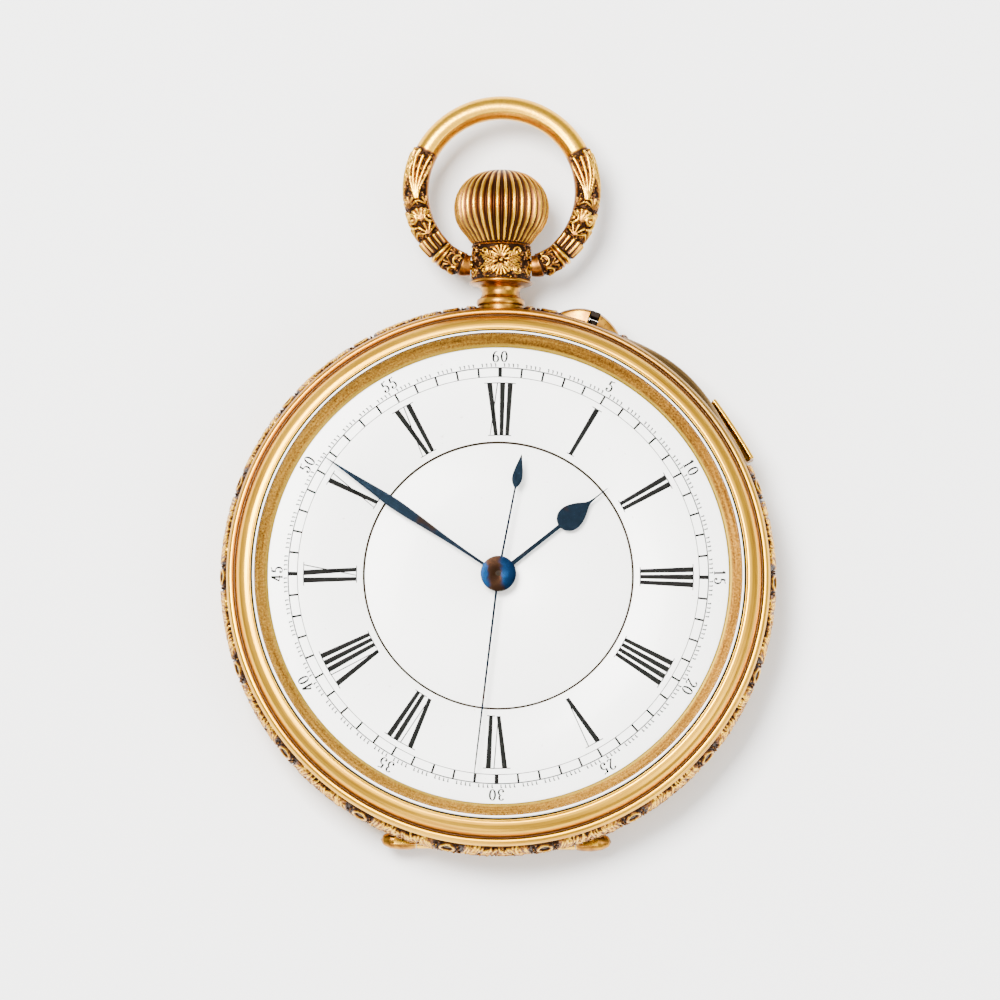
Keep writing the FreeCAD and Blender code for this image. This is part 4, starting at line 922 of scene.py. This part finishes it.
ear_line = round_corners([(0.37, 8.03), (0.86, 8.03), (0.98, 8.6), (1.0, 9.6), (0.86, 10.6), (0.5, 11.3),
                          (0.0, 11.55), (0.0, 10.25), (0.37, 10.25)], 0.15, 4)
for side, name in ((1, "right"), (-1, "left")):
    ear = lathe(f"hinge_ear_{name}", ear_line, "case", (), 64)
    x, y, z = vertex_places(ear).T
    swung = np.stack([side * z, x - 25.9 * MM, side * y + 3.0 * MM], axis=-1)
    ear.data.vertices.foreach_set("co", swung.ravel())
    weld(ear)
    give(ear, WORN_SHADED, 50)

# ---- bezel, glass ------------------------------------------------------------------------------------

bezel_section = [
    (25.25, 8.22), (27.1, 8.22), (27.2, 8.32), (27.22, 8.5), (27.18, 8.72), (27.04, 8.96), (26.86, 9.1),
    (26.66, 9.1), (26.53, 9.0), (26.44, 8.88), (26.36, 8.98), (26.26, 9.3), (26.14, 9.62), (25.95, 9.88),
    (25.7, 10.08), (25.4, 10.22), (25.12, 10.28), (25.0, 10.26), (24.92, 10.3), (24.86, 10.36), (24.8, 10.34),
    (24.78, 10.02),
]
flange_section = [
    (24.78, 9.98), (24.3, 9.97), (23.2, 9.66), (23.12, 9.6), (23.05, 9.52), (23.05, 9.46), (23.75, 9.46),
    (23.75, 8.95), (24.78, 8.95),
]
bezel = lathe("bezel_ring", round_corners(bezel_section, 0.06), "bezel", ("bezel",), 720)
give(bezel, TURNED, 50)
body_section = [(24.78, 8.95), (25.25, 8.95), (25.25, 10.0), (24.78, 10.0)]
give(lathe("bezel_web", body_section, "bezel", (), 360), TURNED)
flange = lathe("bezel_flange", round_corners(flange_section, 0.04), "bezel", (), 720)
give(flange, FLANGE, 50)

glass_section = [
    (0, 12.2), (5, 12.18), (12, 12.09), (18, 11.84), (21, 11.58), (22.8, 11.3), (23.8, 11.04), (24.28, 10.86),
    (24.3, 10.8), (24.26, 10.66), (23.7, 10.78), (22.7, 10.98), (20.9, 11.22), (17.9, 11.46), (12, 11.66),
    (5, 11.75), (0, 11.77),
]
# A thin white ring on the glass's bevelled rim: painted highlight.
bevel_section = [(24.42, 10.72), (24.46, 10.76), (24.6, 10.72), (24.63, 10.02), (24.56, 10.02)]
give(lathe("crystal_bevel", bevel_section, "bezel", (), 720), BEVEL)
seat_section = [(24.63, 10.0), (24.8, 10.0), (24.8, 10.16), (24.63, 10.16)]
give(lathe("bezel_seat_shadow", seat_section, "bezel", (), 480), JOINT)
crystal = lathe("crystal_dome", glass_section, "bezel", ("crystal",), 720)
give(crystal, GLASS, 25)

# ---- dial -------------------------------------------------------------------------------------------

DIAL_TOP = 9.4
CENTRE_TOP = 9.28
chapter_section = [
    (13.51, 8.6), (23.35, 8.6), (23.35, 9.3), (23.3, 9.37), (23.15, DIAL_TOP), (13.62, DIAL_TOP), (13.55, 9.38),
    (13.51, 9.32),
]
give(lathe("chapter_ring", chapter_section, "case", ("dial_chapter_ring",), 720), ENAMEL)
centre_section = [
    (1.3, 8.6), (13.44, 8.6), (13.44, 9.2), (13.38, 9.26), (13.28, CENTRE_TOP), (1.45, CENTRE_TOP), (1.34, 9.26),
    (1.3, 9.2),
]
give(lathe("dial_centre_disc", centre_section, "case", ("dial_centre",), 720), ENAMEL)
joint_section = [(13.36, 9.2), (13.57, 9.2), (13.56, 9.4), (13.5, 9.41), (13.42, 9.37), (13.35, 9.3)]
give(lathe("dial_joint", joint_section, "case", (), 720), JOINT)


class Paint:
    """Thin raised enamel marks, gathered into one piece."""

    def __init__(self, level):
        self.level = level
        self.points = []
        self.faces = []

    def plate(self, outline):
        start = len(self.points)
        count = len(outline)
        self.points += [(x, y, self.level - 0.02) for x, y in outline]
        self.points += [(x, y, self.level + 0.012) for x, y in outline]
        self.faces.append([start + index for index in reversed(range(count))])
        self.faces.append([start + count + index for index in range(count)])
        for index in range(count):
            after = (index + 1) % count
            self.faces.append([start + index, start + after, start + count + after, start + count + index])

    def ribbon(self, line, widths, place):
        """A stroke of changing width along a line, mapped onto the dial by place(x, y)."""
        line = np.array(line, dtype=float)
        step = np.gradient(line, axis=0)
        side = np.stack([-step[:, 1], step[:, 0]], axis=-1)
        side /= np.maximum(np.linalg.norm(side, axis=1, keepdims=True), 1e-9)
        half = np.array(widths, dtype=float)[:, None] / 2
        left = line + side * half
        right = line - side * half
        for index in range(len(line) - 1):
            quad = [right[index], right[index + 1], left[index + 1], left[index]]
            self.plate([place(x, y) for x, y in quad])

    def finish(self, name):
        piece = make_mesh(name, self.points, self.faces, "case", smooth=False)
        weld(piece, 1e-9)
        return give(piece, INK)


def dial_place(degrees, radius, true_width_at=None):
    """Map a small upright drawing (x right, y outward) to its place at a clock direction."""
    def place(x, y):
        r = radius + y
        angle = math.radians(90 - degrees) - x / (true_width_at or radius)
        return r * math.cos(angle), r * math.sin(angle)
    return place


def printed_circle(paint, inner, outer, steps=360):
    for index in range(steps):
        a = math.radians(90 - 360 * index / steps)
        b = math.radians(90 - 360 * (index + 1) / steps)
        paint.plate([(inner * math.cos(a), inner * math.sin(a)), (inner * math.cos(b), inner * math.sin(b)),
                     (outer * math.cos(b), outer * math.sin(b)), (outer * math.cos(a), outer * math.sin(a))][::-1])


TRACK_IN = 20.1
TRACK_OUT = 21.02
track = Paint(DIAL_TOP)
printed_circle(track, TRACK_IN - 0.035, TRACK_IN + 0.035)
printed_circle(track, TRACK_OUT - 0.055, TRACK_OUT + 0.055)
for minute in range(60):
    wide = 0.38 if minute % 15 == 0 else 0.2
    place = dial_place(minute * 6, TRACK_IN)
    track.plate([place(-wide / 2, 0), place(wide / 2, 0), place(wide / 2, 0.95), place(-wide / 2, 0.95)])
    for fifth in range(1, 5):
        place = dial_place(minute * 6 + fifth * 1.2, TRACK_OUT)
        track.plate([place(-0.055, 0.1), place(0.055, 0.1), place(0.055, 0.44), place(-0.055, 0.44)])
        track.plate([place(-0.13, 0.4), place(-0.03, 0.32), place(0.045, 0.44), place(-0.08, 0.47)])
track.finish("minute_track")

ROMAN = ["XII", "I", "II", "III", "IIII", "V", "VI", "VII", "VIII", "IX", "X", "XI"]
NUMERAL_LOW = 14.2
NUMERAL_TALL = 5.3
NUMERAL_MIDDLE = NUMERAL_LOW + NUMERAL_TALL / 2
THICK = 0.46
THIN = 0.1
ADVANCE = {"I": 0.67, "V": 1.45, "X": 1.12}


def bar(paint, place, foot, head, width):
    """One straight stroke of a Roman numeral."""
    half = width / 2
    paint.plate([place(foot - half, 0.0), place(foot + half, 0.0), place(head + half, NUMERAL_TALL),
                 place(head - half, NUMERAL_TALL)])


numerals = Paint(DIAL_TOP)
for hour, text in enumerate(ROMAN):
    place = dial_place(hour * 30, NUMERAL_LOW, NUMERAL_MIDDLE)
    total = sum(ADVANCE[letter] for letter in text)
    x = -total / 2
    for letter in text:
        wide = ADVANCE[letter]
        middle = x + wide / 2
        if letter == "I":
            bar(numerals, place, middle, middle, THICK)
        if letter == "V":
            bar(numerals, place, middle + 0.16, x + 0.36, THICK)
            bar(numerals, place, middle + 0.2, x + wide - 0.16, THIN)
        if letter == "X":
            bar(numerals, place, x + wide - 0.32, x + 0.32, THICK)
            bar(numerals, place, x + 0.1, x + wide - 0.1, THIN)
        x += wide
    for level, letters in ((NUMERAL_TALL, "IVX"), (0.0, "IX")):
        x = -total / 2
        for letter in text:
            wide = ADVANCE[letter]
            if letter in letters:
                numerals.plate([place(x - 0.14, level - 0.045), place(x + wide + 0.14, level - 0.045),
                                place(x + wide + 0.14, level + 0.045), place(x - 0.14, level + 0.045)])
            x += wide
numerals.finish("hour_numerals")


def oval(cx, cy, rx, ry, first=0, last=360, steps=28):
    """Points of an arc of an ellipse."""
    return [(cx + rx * math.cos(math.radians(a)), cy + ry * math.sin(math.radians(a)))
            for a in np.linspace(first, last, steps)]


def swell_widths(line, thin, thick):
    """Thick where the stroke runs up or down, thin where it runs across."""
    step = np.gradient(np.array(line, dtype=float), axis=0)
    share = np.abs(step[:, 1]) / np.maximum(np.linalg.norm(step, axis=1), 1e-9)
    return thin + (thick - thin) * share ** 2


def digit_strokes(digit):
    """Centre lines of an old-style figure in a box about 0.6 wide and 1 tall."""
    dot = oval(0.1, 0.2, 0.045, 0.045, 0, 360, 10)
    if digit == "0":
        return [oval(0.3, 0.5, 0.25, 0.48)]
    if digit == "1":
        return [[(0.3, 0.0), (0.3, 0.5), (0.3, 1.0)], [(0.12, 0.8), (0.22, 0.88), (0.3, 1.0)],
                [(0.12, 0.0), (0.48, 0.0)]]
    if digit == "2":
        return [oval(0.3, 0.74, 0.22, 0.25, 170, -30, 14) + [(0.36, 0.4), (0.16, 0.14), (0.05, 0.02)],
                smooth_line([(0.05, 0.02), (0.2, 0.08), (0.38, 0.0), (0.54, 0.12)]).tolist()]
    if digit == "3":
        return [oval(0.27, 0.76, 0.2, 0.23, 160, -80, 14), oval(0.27, 0.28, 0.25, 0.28, 85, -150, 16), dot]
    if digit == "4":
        return [[(0.4, 0.0), (0.4, 0.5), (0.4, 1.0)], [(0.4, 1.0), (0.2, 0.6), (0.02, 0.27)],
                [(0.02, 0.27), (0.56, 0.27)], [(0.28, 0.0), (0.52, 0.0)]]
    if digit == "5":
        return [oval(0.25, 0.31, 0.26, 0.31, 120, -150, 20), [(0.13, 0.58), (0.14, 0.8), (0.17, 0.98)],
                smooth_line([(0.17, 0.98), (0.32, 0.94), (0.5, 1.02)]).tolist(), dot]
    return [oval(0.3, 0.3, 0.24, 0.3), smooth_line([(0.07, 0.35), (0.1, 0.66), (0.28, 0.92), (0.46, 0.96)]).tolist()]


figures = Paint(DIAL_TOP)
FIGURE_TALL = 1.12
for index in range(12):
    text = str(60 if index == 0 else index * 5)
    direction = dial_place(index * 30, 21.6)
    advance = 0.74
    x = -advance * len(text) / 2 + 0.07
    for digit in text:
        for line in digit_strokes(digit):
            line = np.array(line, dtype=float)
            if len(line) < 3:
                line = np.linspace(line[0], line[-1], 3)
            line = line * np.array([FIGURE_TALL * 0.92, FIGURE_TALL]) + np.array([x * FIGURE_TALL, 0.0])
            figures.ribbon(line, swell_widths(line, 0.075, 0.19), direction)
        x += advance
figures.finish("seconds_figures")

# ---- hands ------------------------------------------------------------------------------------------


def hand_piece(name, outline, low, thick, degrees, body, hides=(), bevel=0.05):
    """A flat hand drawn pointing up, with a soft bevel on its edges."""
    turn = math.radians(-degrees)
    spin = np.array([[math.cos(turn), -math.sin(turn)], [math.sin(turn), math.cos(turn)]])
    flat = np.array(outline) @ spin.T
    count = len(flat)
    points = [(x, y, low) for x, y in flat] + [(x, y, low + thick) for x, y in flat]
    faces = [list(reversed(range(count))), [count + index for index in range(count)]]
    faces += [[index, (index + 1) % count, count + (index + 1) % count, count + index] for index in range(count)]
    piece = make_mesh(name, points, faces, body, hides)
    rounding = piece.modifiers.new("edge", "BEVEL")
    rounding.width = bevel * MM
    rounding.segments = 2
    rounding.limit_method = "ANGLE"
    rounding.angle_limit = math.radians(50)
    return give(piece, BLUED, 25)


def both_sides(half):
    """Close a right-hand outline with its mirror image."""
    return half + [(-x, y) for x, y in reversed(half) if abs(x) > 1e-9]


hour_half = smooth_line([(0.24, 1.2), (0.21, 4.0), (0.2, 7.5), (0.24, 7.8), (0.66, 7.98), (1.1, 8.45), (1.27, 9.1),
                         (1.16, 9.8), (0.8, 10.6), (0.4, 11.2), (0.18, 11.65), (0.08, 12.3), (0.06, 13.2),
                         (0.03, 14.0)]).tolist()
hand_piece("hour_hand_blade", both_sides(hour_half), 9.95, 0.15, 50.9, "hour", ("hour_hand",))
minute_half = smooth_line([(0.14, 1.2), (0.17, 4.0), (0.25, 6.5), (0.38, 8.8), (0.49, 10.8), (0.54, 12.4),
                           (0.5, 13.6), (0.36, 15.6), (0.2, 17.8), (0.1, 19.6), (0.02, 21.2)]).tolist()
hand_piece("minute_hand_blade", both_sides(minute_half), 10.35, 0.15, 303.8, "minute", ("minute_hand",))
seconds_half = [(0.12, 0.0), (0.1, 12.0), (0.07, 19.0), (0.03, 21.2)]
tail_half = smooth_line([(0.12, 0.0), (0.1, 7.5), (0.1, 8.75), (0.24, 9.0), (0.46, 9.45), (0.52, 9.95), (0.42, 10.7),
                         (0.22, 11.5), (0.03, 12.25)]).tolist()
hand_piece("seconds_hand_blade", both_sides(seconds_half), 10.76, 0.11, 186.3, "seconds", ("seconds_hand",), 0.02)
hand_piece("seconds_hand_tail", both_sides(tail_half), 10.76, 0.11, 10.5, "seconds", (), 0.02)


def hub(name, radius, low, high, bore, body, material):
    """A flat collar in the middle of a hand."""
    section = round_corners([(bore, low), (radius, low), (radius, high), (bore, high)], 0.06)
    return give(lathe(name, section, body, (), 96), material, 40)


hub("hour_hand_hub", 1.72, 9.93, 10.12, 1.16, "hour", BLUED)
hub("minute_hand_hub", 1.5, 10.33, 10.52, 0.86, "minute", BLUED)
hub("seconds_hand_hub", 1.79, 10.72, 10.92, 0.21, "seconds", BLUED_HUB)
hub("seconds_hand_pipe", 0.3, 10.9, 10.99, 0.01, "seconds", JOINT)

# ---- crown, pendant, bow ------------------------------------------------------------------------------

STEM_Z = 5.9
PENDANT_RISE = 0.4
crown_line = smooth_line([(2.95, 33.72), (3.2, 34.0), (3.6, 34.55), (4.15, 35.2), (4.6, 36.1), (4.77, 37.1),
                          (4.72, 38.0), (4.42, 38.95), (3.8, 39.85), (2.8, 40.62), (1.5, 41.05), (0.0, 41.17)], 6)
crown_line = crown_line + np.array([0.0, PENDANT_RISE])
RIBS = 34


def flute(angles, radius, height):
    """Press the crown's ribs into its side."""
    share = np.clip((radius - 0.9) / 3.4, 0, 1)
    outer = np.where(height > 34.05, 1.0, 0.0)
    wave = np.abs(np.cos(angles * RIBS / 2)) ** 1.5
    return radius - 0.46 * share * (1 - wave) * outer, height


crown_section = [(0.0, 34.0), (2.85, 34.0)] + [tuple(point) for point in crown_line]
crown = lathe("crown_ribbed", crown_section, "crown", ("crown",), RIBS * 20, "Y", (0, 0, STEM_Z),
              flute)
layer = crown.data.attributes.new("relief", "FLOAT", "POINT")
spots = vertex_places(crown) / MM
around = np.arctan2(spots[:, 2] - STEM_Z, spots[:, 0])
layer.data.foreach_set("value", (0.08 + 0.9 * np.abs(np.cos(around * RIBS / 2)) ** 2.4).astype(np.float32))
give(crown, RIBBED)

pendant_line = round_corners([(0.56, 26.7), (2.2, 26.7), (2.28, 27.7), (2.4, 27.86), (2.44, 28.1), (2.38, 28.4),
                              (2.1, 28.52), (1.96, 28.75), (1.9, 29.15), (2.0, 29.55), (2.35, 29.8), (3.0, 29.93),
                              (3.16, 30.02), (3.15, 30.2), (2.9, 30.36), (0.56, 30.36)], 0.08, 3)
foot = lathe("pendant_foot", pendant_line, "case", ("pendant",), 192, "Y", (0, 0, STEM_Z))
give(foot, WORN_SHADED, 60)

PENDANT_R = 2.92
DRUM_ENDS = (30.28, 33.92)
drum_columns = 420
drum_rows = 84
drum_turn, drum_level = mesh_grid(np.linspace(0, TAU, drum_columns, endpoint=False),
                                  np.linspace(*DRUM_ENDS, drum_rows))
quarter = TAU * PENDANT_R / 4


def drum_strokes(index):
    """Chasing of one quarter of the pendant: a flower with leaves, or four scrolls."""
    side_rows = []
    if index % 2:
        side_rows += flower(0, 0, 0.95, 0.24, 8, 0.2)
        side_rows += shell(0, 0.35, 90, 1.1, 0.24, 7, 130)
        side_rows += shell(0, -0.35, -90, 1.1, 0.24, 7, 130)
        for side in (1, -1):
            side_rows += leaf(side * 0.7, 0.1, 90 - side * 65, 1.15, 0.7, 0.24, 4)
            side_rows += leaf(side * 0.7, -0.2, -90 + side * 60, 1.15, 0.7, 0.24, 4)
            for up, first in ((1, 200), (-1, 160)):
                scroll = curl(side * 1.75, up * 0.95, 0.5, 0.12, first, first - up * side * 400, 12)
                side_rows += stroke(scroll, 0.12, 0.1, 0.24, 0.2)
    else:
        for side, up in ((1, 1), (1, -1), (-1, 1), (-1, -1)):
            scroll = curl(side * 1.2, up * 0.95, 0.6, 0.12, 0, side * up * 430, 14)
            side_rows += stroke(scroll, 0.13, 0.1, 0.22, 0.18)
    rng = np.random.default_rng(40 + index % 4)
    for _ in range(120):
        side_rows += crumb(rng.uniform(-quarter / 2, quarter / 2), rng.uniform(-1.7, 1.6), rng.uniform(0, TAU),
                           rng.uniform(0.1, 0.45), 0.1, rng.uniform(0.08, 0.2), rng.uniform(0.06, 0.16))
    return side_rows


drum_height = repeated_relief(drum_turn * PENDANT_R, drum_level - 32.08, quarter, drum_strokes)
lip = np.maximum(1 - np.abs(drum_level - 33.8) / 0.14, 0) * 0.16
drum_height = np.maximum(drum_height, lip)
drum_radius = PENDANT_R - 0.06 + drum_height
bore = np.full((drum_columns, 2), 0.56)
drum_radius = np.concatenate([drum_radius, bore], axis=1)
drum_turn = drum_turn[:, list(range(drum_rows)) + [0, 0]]
drum_level = np.concatenate([drum_level, drum_level[:, [-1, 0]]], axis=1)
drum_loop = np.stack([drum_radius * np.cos(drum_turn), drum_level, STEM_Z - drum_radius * np.sin(drum_turn)], axis=-1)
drum_tone = np.concatenate([drum_height / 0.24, np.zeros((drum_columns, 2))], axis=1)
drum_faces = grid_faces(drum_columns, drum_rows + 2, True, True)
drum = make_mesh("pendant_drum", drum_loop.reshape(-1, 3), drum_faces, "case",
                 fields={"relief": drum_tone.ravel()})
weld(drum)
give(drum, CHASED, 60)

RING_R = 8.515
RING_Y = 39.4
PIVOT_Y = 31.9
WIRE_R = 1.2


def bow_path():
    """Centre line from the right pivot over the top to the left pivot."""
    right = [(3.05, PIVOT_Y), (3.7, PIVOT_Y + 0.06), (4.7, PIVOT_Y + 0.5), (5.7, PIVOT_Y + 1.15)]
    arc = [(RING_R * math.cos(math.radians(a)), RING_Y + RING_R * math.sin(math.radians(a)))
           for a in np.linspace(-38, 218, 64)]
    left = [(-x, y) for x, y in reversed(right)]
    return smooth_line(right + arc + left, 12)


def bow_strokes(length, girth):
    """Chasing of one side of the bow, from the pivot outward, in (distance, distance round the wire)."""
    rows = []
    for turn in range(6):
        middle = (turn + 0.5) * girth / 6
        rows += stroke(curl(1.35, middle, 0.5, 0.42, 90, -90, 8), 0.17, 0.17, 0.3, 0.3)
        rows += shell(1.75, middle + girth / 12, 0, 0.75, 0.26, 3, 60)
    for place, size, height in ((2.75, 0.2, 0.26), (3.2, 0.26, 0.34)):
        for step in range(12):
            a = step * girth / 12
            rows.append(capsule(place, a, place, a + girth / 12, size, size, height, height))
    for turn in range(14):
        middle = turn * girth / 14
        rows += stroke([(3.7, middle), (5.0, middle)], 0.15, 0.2, 0.24, 0.34)
    for turn in range(4):
        middle = turn * girth / 4
        rows += shell(5.35, middle, 0, 1.15, 0.34, 5, 120)
        rows += stroke(curl(7.2, middle + girth / 8, 0.78, 0.2, 180, 180 + 460, 18), 0.17, 0.15, 0.36, 0.3)
        rows.append(capsule(7.2, middle + girth / 8, 7.21, middle + girth / 8, 0.22, 0.22, 0.36, 0.36))
        rows += shell(6.9, middle, 0, 1.2, 0.34, 6, 100)
        rows += shell(8.35, middle + girth / 8, 0, 1.0, 0.32, 5, 110)
    for turn in range(3):
        middle = girth * (turn - 1) / 4.2
        for blade in range(5):
            spread = (blade - 2) * 0.34
            points = [(9.2, middle + spread * 0.25), (10.4, middle + spread * 0.6), (11.6, middle + spread * 1.15),
                      (length - 1.0 + 0.2 * abs(blade - 2), middle + spread * 1.9)]
            rows += stroke(smooth_line(points, 4).tolist(), 0.1, 0.2, 0.28, 0.36)
    rng = np.random.default_rng(71)
    for index in range(620):
        x = rng.uniform(5.1, length - 0.5) if index % 6 else rng.uniform(1.0, 2.4)
        rows += crumb(x, rng.uniform(0, girth), rng.normal(0.0, 0.9), rng.uniform(0.12, 0.5), rng.uniform(0.07, 0.13),
                      rng.uniform(0.10, 0.27), rng.uniform(0.08, 0.2))
    wrapped = []
    for shift in (-girth, 0, girth):
        for row in rows:
            wrapped.append([row[0], row[1] + shift, row[2], row[3] + shift] + row[4:])
    return wrapped


path = bow_path()
path_step = np.linalg.norm(np.diff(path, axis=0), axis=1)
path_length = np.concatenate([[0], np.cumsum(path_step)])
total_length = path_length[-1]
even = np.linspace(0, total_length, 900)
path = np.stack([np.interp(even, path_length, path[:, axis]) for axis in (0, 1)], axis=-1)
tangent = np.gradient(path, axis=0)
tangent /= np.linalg.norm(tangent, axis=1, keepdims=True)
normal = np.stack([tangent[:, 1], -tangent[:, 0]], axis=-1)
wire_count = 110
wire_turn = np.linspace(0, TAU, wire_count, endpoint=False)
girth = TAU * WIRE_R
away_from_end = np.minimum(even, total_length - even)
u_field, v_field = mesh_grid(away_from_end, wire_turn * WIRE_R)
ring_angle = np.arctan2(path[:, 1] - RING_Y, path[:, 0])
CHASE_END = float(even[np.argmax((ring_angle > math.radians(30)) & (path[:, 1] > RING_Y))])
chased = u_field < CHASE_END
bow_height = np.zeros_like(u_field)
bow_height[chased] = relief(u_field[chased], v_field[chased], bow_strokes(CHASE_END, girth))
plain = fade(u_field, CHASE_END - 0.5, CHASE_END - 0.1)
inner = fade(np.abs(np.pi - wire_turn), 0.62, 0.78)[None, :] * np.ones_like(plain)
bulb = 1 - fade(u_field, 0.75, 1.0)
chase_share = inner * (1 - plain) * (1 - bulb)
bow_height = bow_height * chase_share
ridge = np.exp(-((np.cos(wire_turn) + 0.45) / 0.1) ** 2)[None, :] * 0.035 * plain
radius = WIRE_R - 0.06 * chase_share + bow_height + ridge + 0.1 * bulb
taper = 0.8 + 0.2 * fade(away_from_end, 0, 1.2)
radius = radius * taper[:, None]
bow_points = np.stack([
    path[:, 0][:, None] + normal[:, 0][:, None] * radius * np.cos(wire_turn)[None, :],
    path[:, 1][:, None] + normal[:, 1][:, None] * radius * np.cos(wire_turn)[None, :],
    STEM_Z + radius * np.sin(wire_turn)[None, :],
], axis=-1)
bow_faces = swept_faces(len(even), wire_count)
bow_tone = np.maximum(bow_height / 0.33, 0.86 * plain + 0.6 * (1 - inner) * (1 - plain) + 0.55 * bulb * inner)
bow = make_mesh("bow_ring", bow_points.reshape(-1, 3), bow_faces, "bow", ("bow",),
                fields={"relief": bow_tone.ravel()})
weld(bow)
give(bow, CHASED)
for side, name in ((1, "right"), (-1, "left")):
    pin = lathe(f"bow_pivot_{name}", round_corners([(0, 2.0), (0.5, 2.0), (0.5, 3.3), (0, 3.3)], 0.05), "bow",
                (), 48, "Y")
    x, y, z = vertex_places(pin).T
    moved = np.stack([side * y, x + PIVOT_Y * MM, z + STEM_Z * MM], axis=-1)
    pin.data.vertices.foreach_set("co", moved.ravel())
    weld(pin)
    give(pin, SMOOTH)

# ---- back -------------------------------------------------------------------------------------------

back_profile = np.array([(0, 0), (19, 0), (20.7, 0.1), (22.5, 0.35), (23.8, 0.7), (25.0, 1.15), (25.8, 1.7),
                         (26.5, 2.4), (26.8, 2.95), (26.92, 3.42)])
back_columns = 900
back_rows = 150
run = np.concatenate([[0], np.cumsum(np.linalg.norm(np.diff(back_profile, axis=0), axis=1))])
back_turn, reach = mesh_grid(np.linspace(0, TAU, back_columns, endpoint=False), np.linspace(0.3, run[-1], back_rows))
# The edge is straight where the hinge sits.
HINGE_CHORD = 24.72
at_hinge = turn_gap(np.degrees(back_turn[:, 0]), 270) < 30
chord_run = np.interp(HINGE_CHORD / np.maximum(-np.sin(back_turn[:, 0]), 0.3), back_profile[:, 0], run)
limit = np.where(at_hinge, np.minimum(run[-1], chord_run), run[-1])
reach = np.minimum(reach, limit[:, None])
back_r = np.interp(reach, run, back_profile[:, 0])
back_z = np.interp(reach, run, back_profile[:, 1])
petals = 24
twist = 5.2 * np.log(np.maximum(back_r, 0.5))
rosette = np.cos(petals * back_turn + twist) * np.cos(petals * back_turn - twist)
engraved = fade(back_r, 5.1, 5.3) * (1 - fade(back_r, 16.2, 16.4))
frame_lines = np.maximum(1 - np.abs(back_r - 5.0) / 0.12, 0) + np.maximum(1 - np.abs(back_r - 16.7) / 0.14, 0)
frame_lines += np.maximum(1 - np.abs(back_r - 25.9) / 0.12, 0)
back_depth = 0.05 * engraved * (0.5 - 0.5 * rosette) + 0.06 * np.clip(frame_lines, 0, 1)
border_repeat = TAU * 21 / 16


def border_strokes(index):
    """The band's ornament at a larger scale."""
    scale = 1.55
    rows = cartouche(np.random.default_rng(500 + index % 16), border_repeat / 2 / scale)
    return [[value * scale for value in row[:6]] + row[6:] for row in rows]


in_border = (back_r > 17.0) & (back_r < 25.8)
border_height = repeated_relief(back_turn * 21, back_r - 21.3, border_repeat, border_strokes, in_border)
border_ring = fade(back_r, 17.0, 17.4) * (1 - fade(back_r, 25.3, 25.7))
carve = 0.14 * border_ring * (1 - border_height / 0.36)
slope_r = np.gradient(back_profile[:, 1]) / np.maximum(np.gradient(back_profile[:, 0]), 1e-6)
tilt = np.arctan(np.interp(reach, run, slope_r))
sink = back_depth + carve
skin_r = back_r - sink * np.sin(tilt) + 0.02 * np.sin(tilt)
skin_z = back_z + sink * np.cos(tilt) - 0.02 * np.cos(tilt)
skin = upright(skin_r, back_turn, skin_z)
back_tone = np.clip(0.9 - back_depth * 9 - carve * 6.2, 0.05, 0.93)
lid_tilt = tilt[:, [-1, 0]]
lid = upright(back_r[:, [-1, 0]] - 0.3 * np.sin(lid_tilt), back_turn[:, [0, 0]],
              back_z[:, [-1, 0]] + 0.3 * np.cos(lid_tilt))
back_loop = np.concatenate([skin, lid], axis=1)
back_fields = np.concatenate([back_tone, np.zeros((back_columns, 2))], axis=1)
back_faces = grid_faces(back_columns, back_rows + 2, True, False)
back_faces.append([index * (back_rows + 2) for index in range(back_columns)])
back_faces.append([index * (back_rows + 2) + back_rows + 1 for index in reversed(range(back_columns))])
back = make_mesh("back_chasing", back_loop.reshape(-1, 3), back_faces, "back_cover",
                 fields={"relief": back_fields.ravel()})
weld(back)
give(back, ENGRAVED, 60)
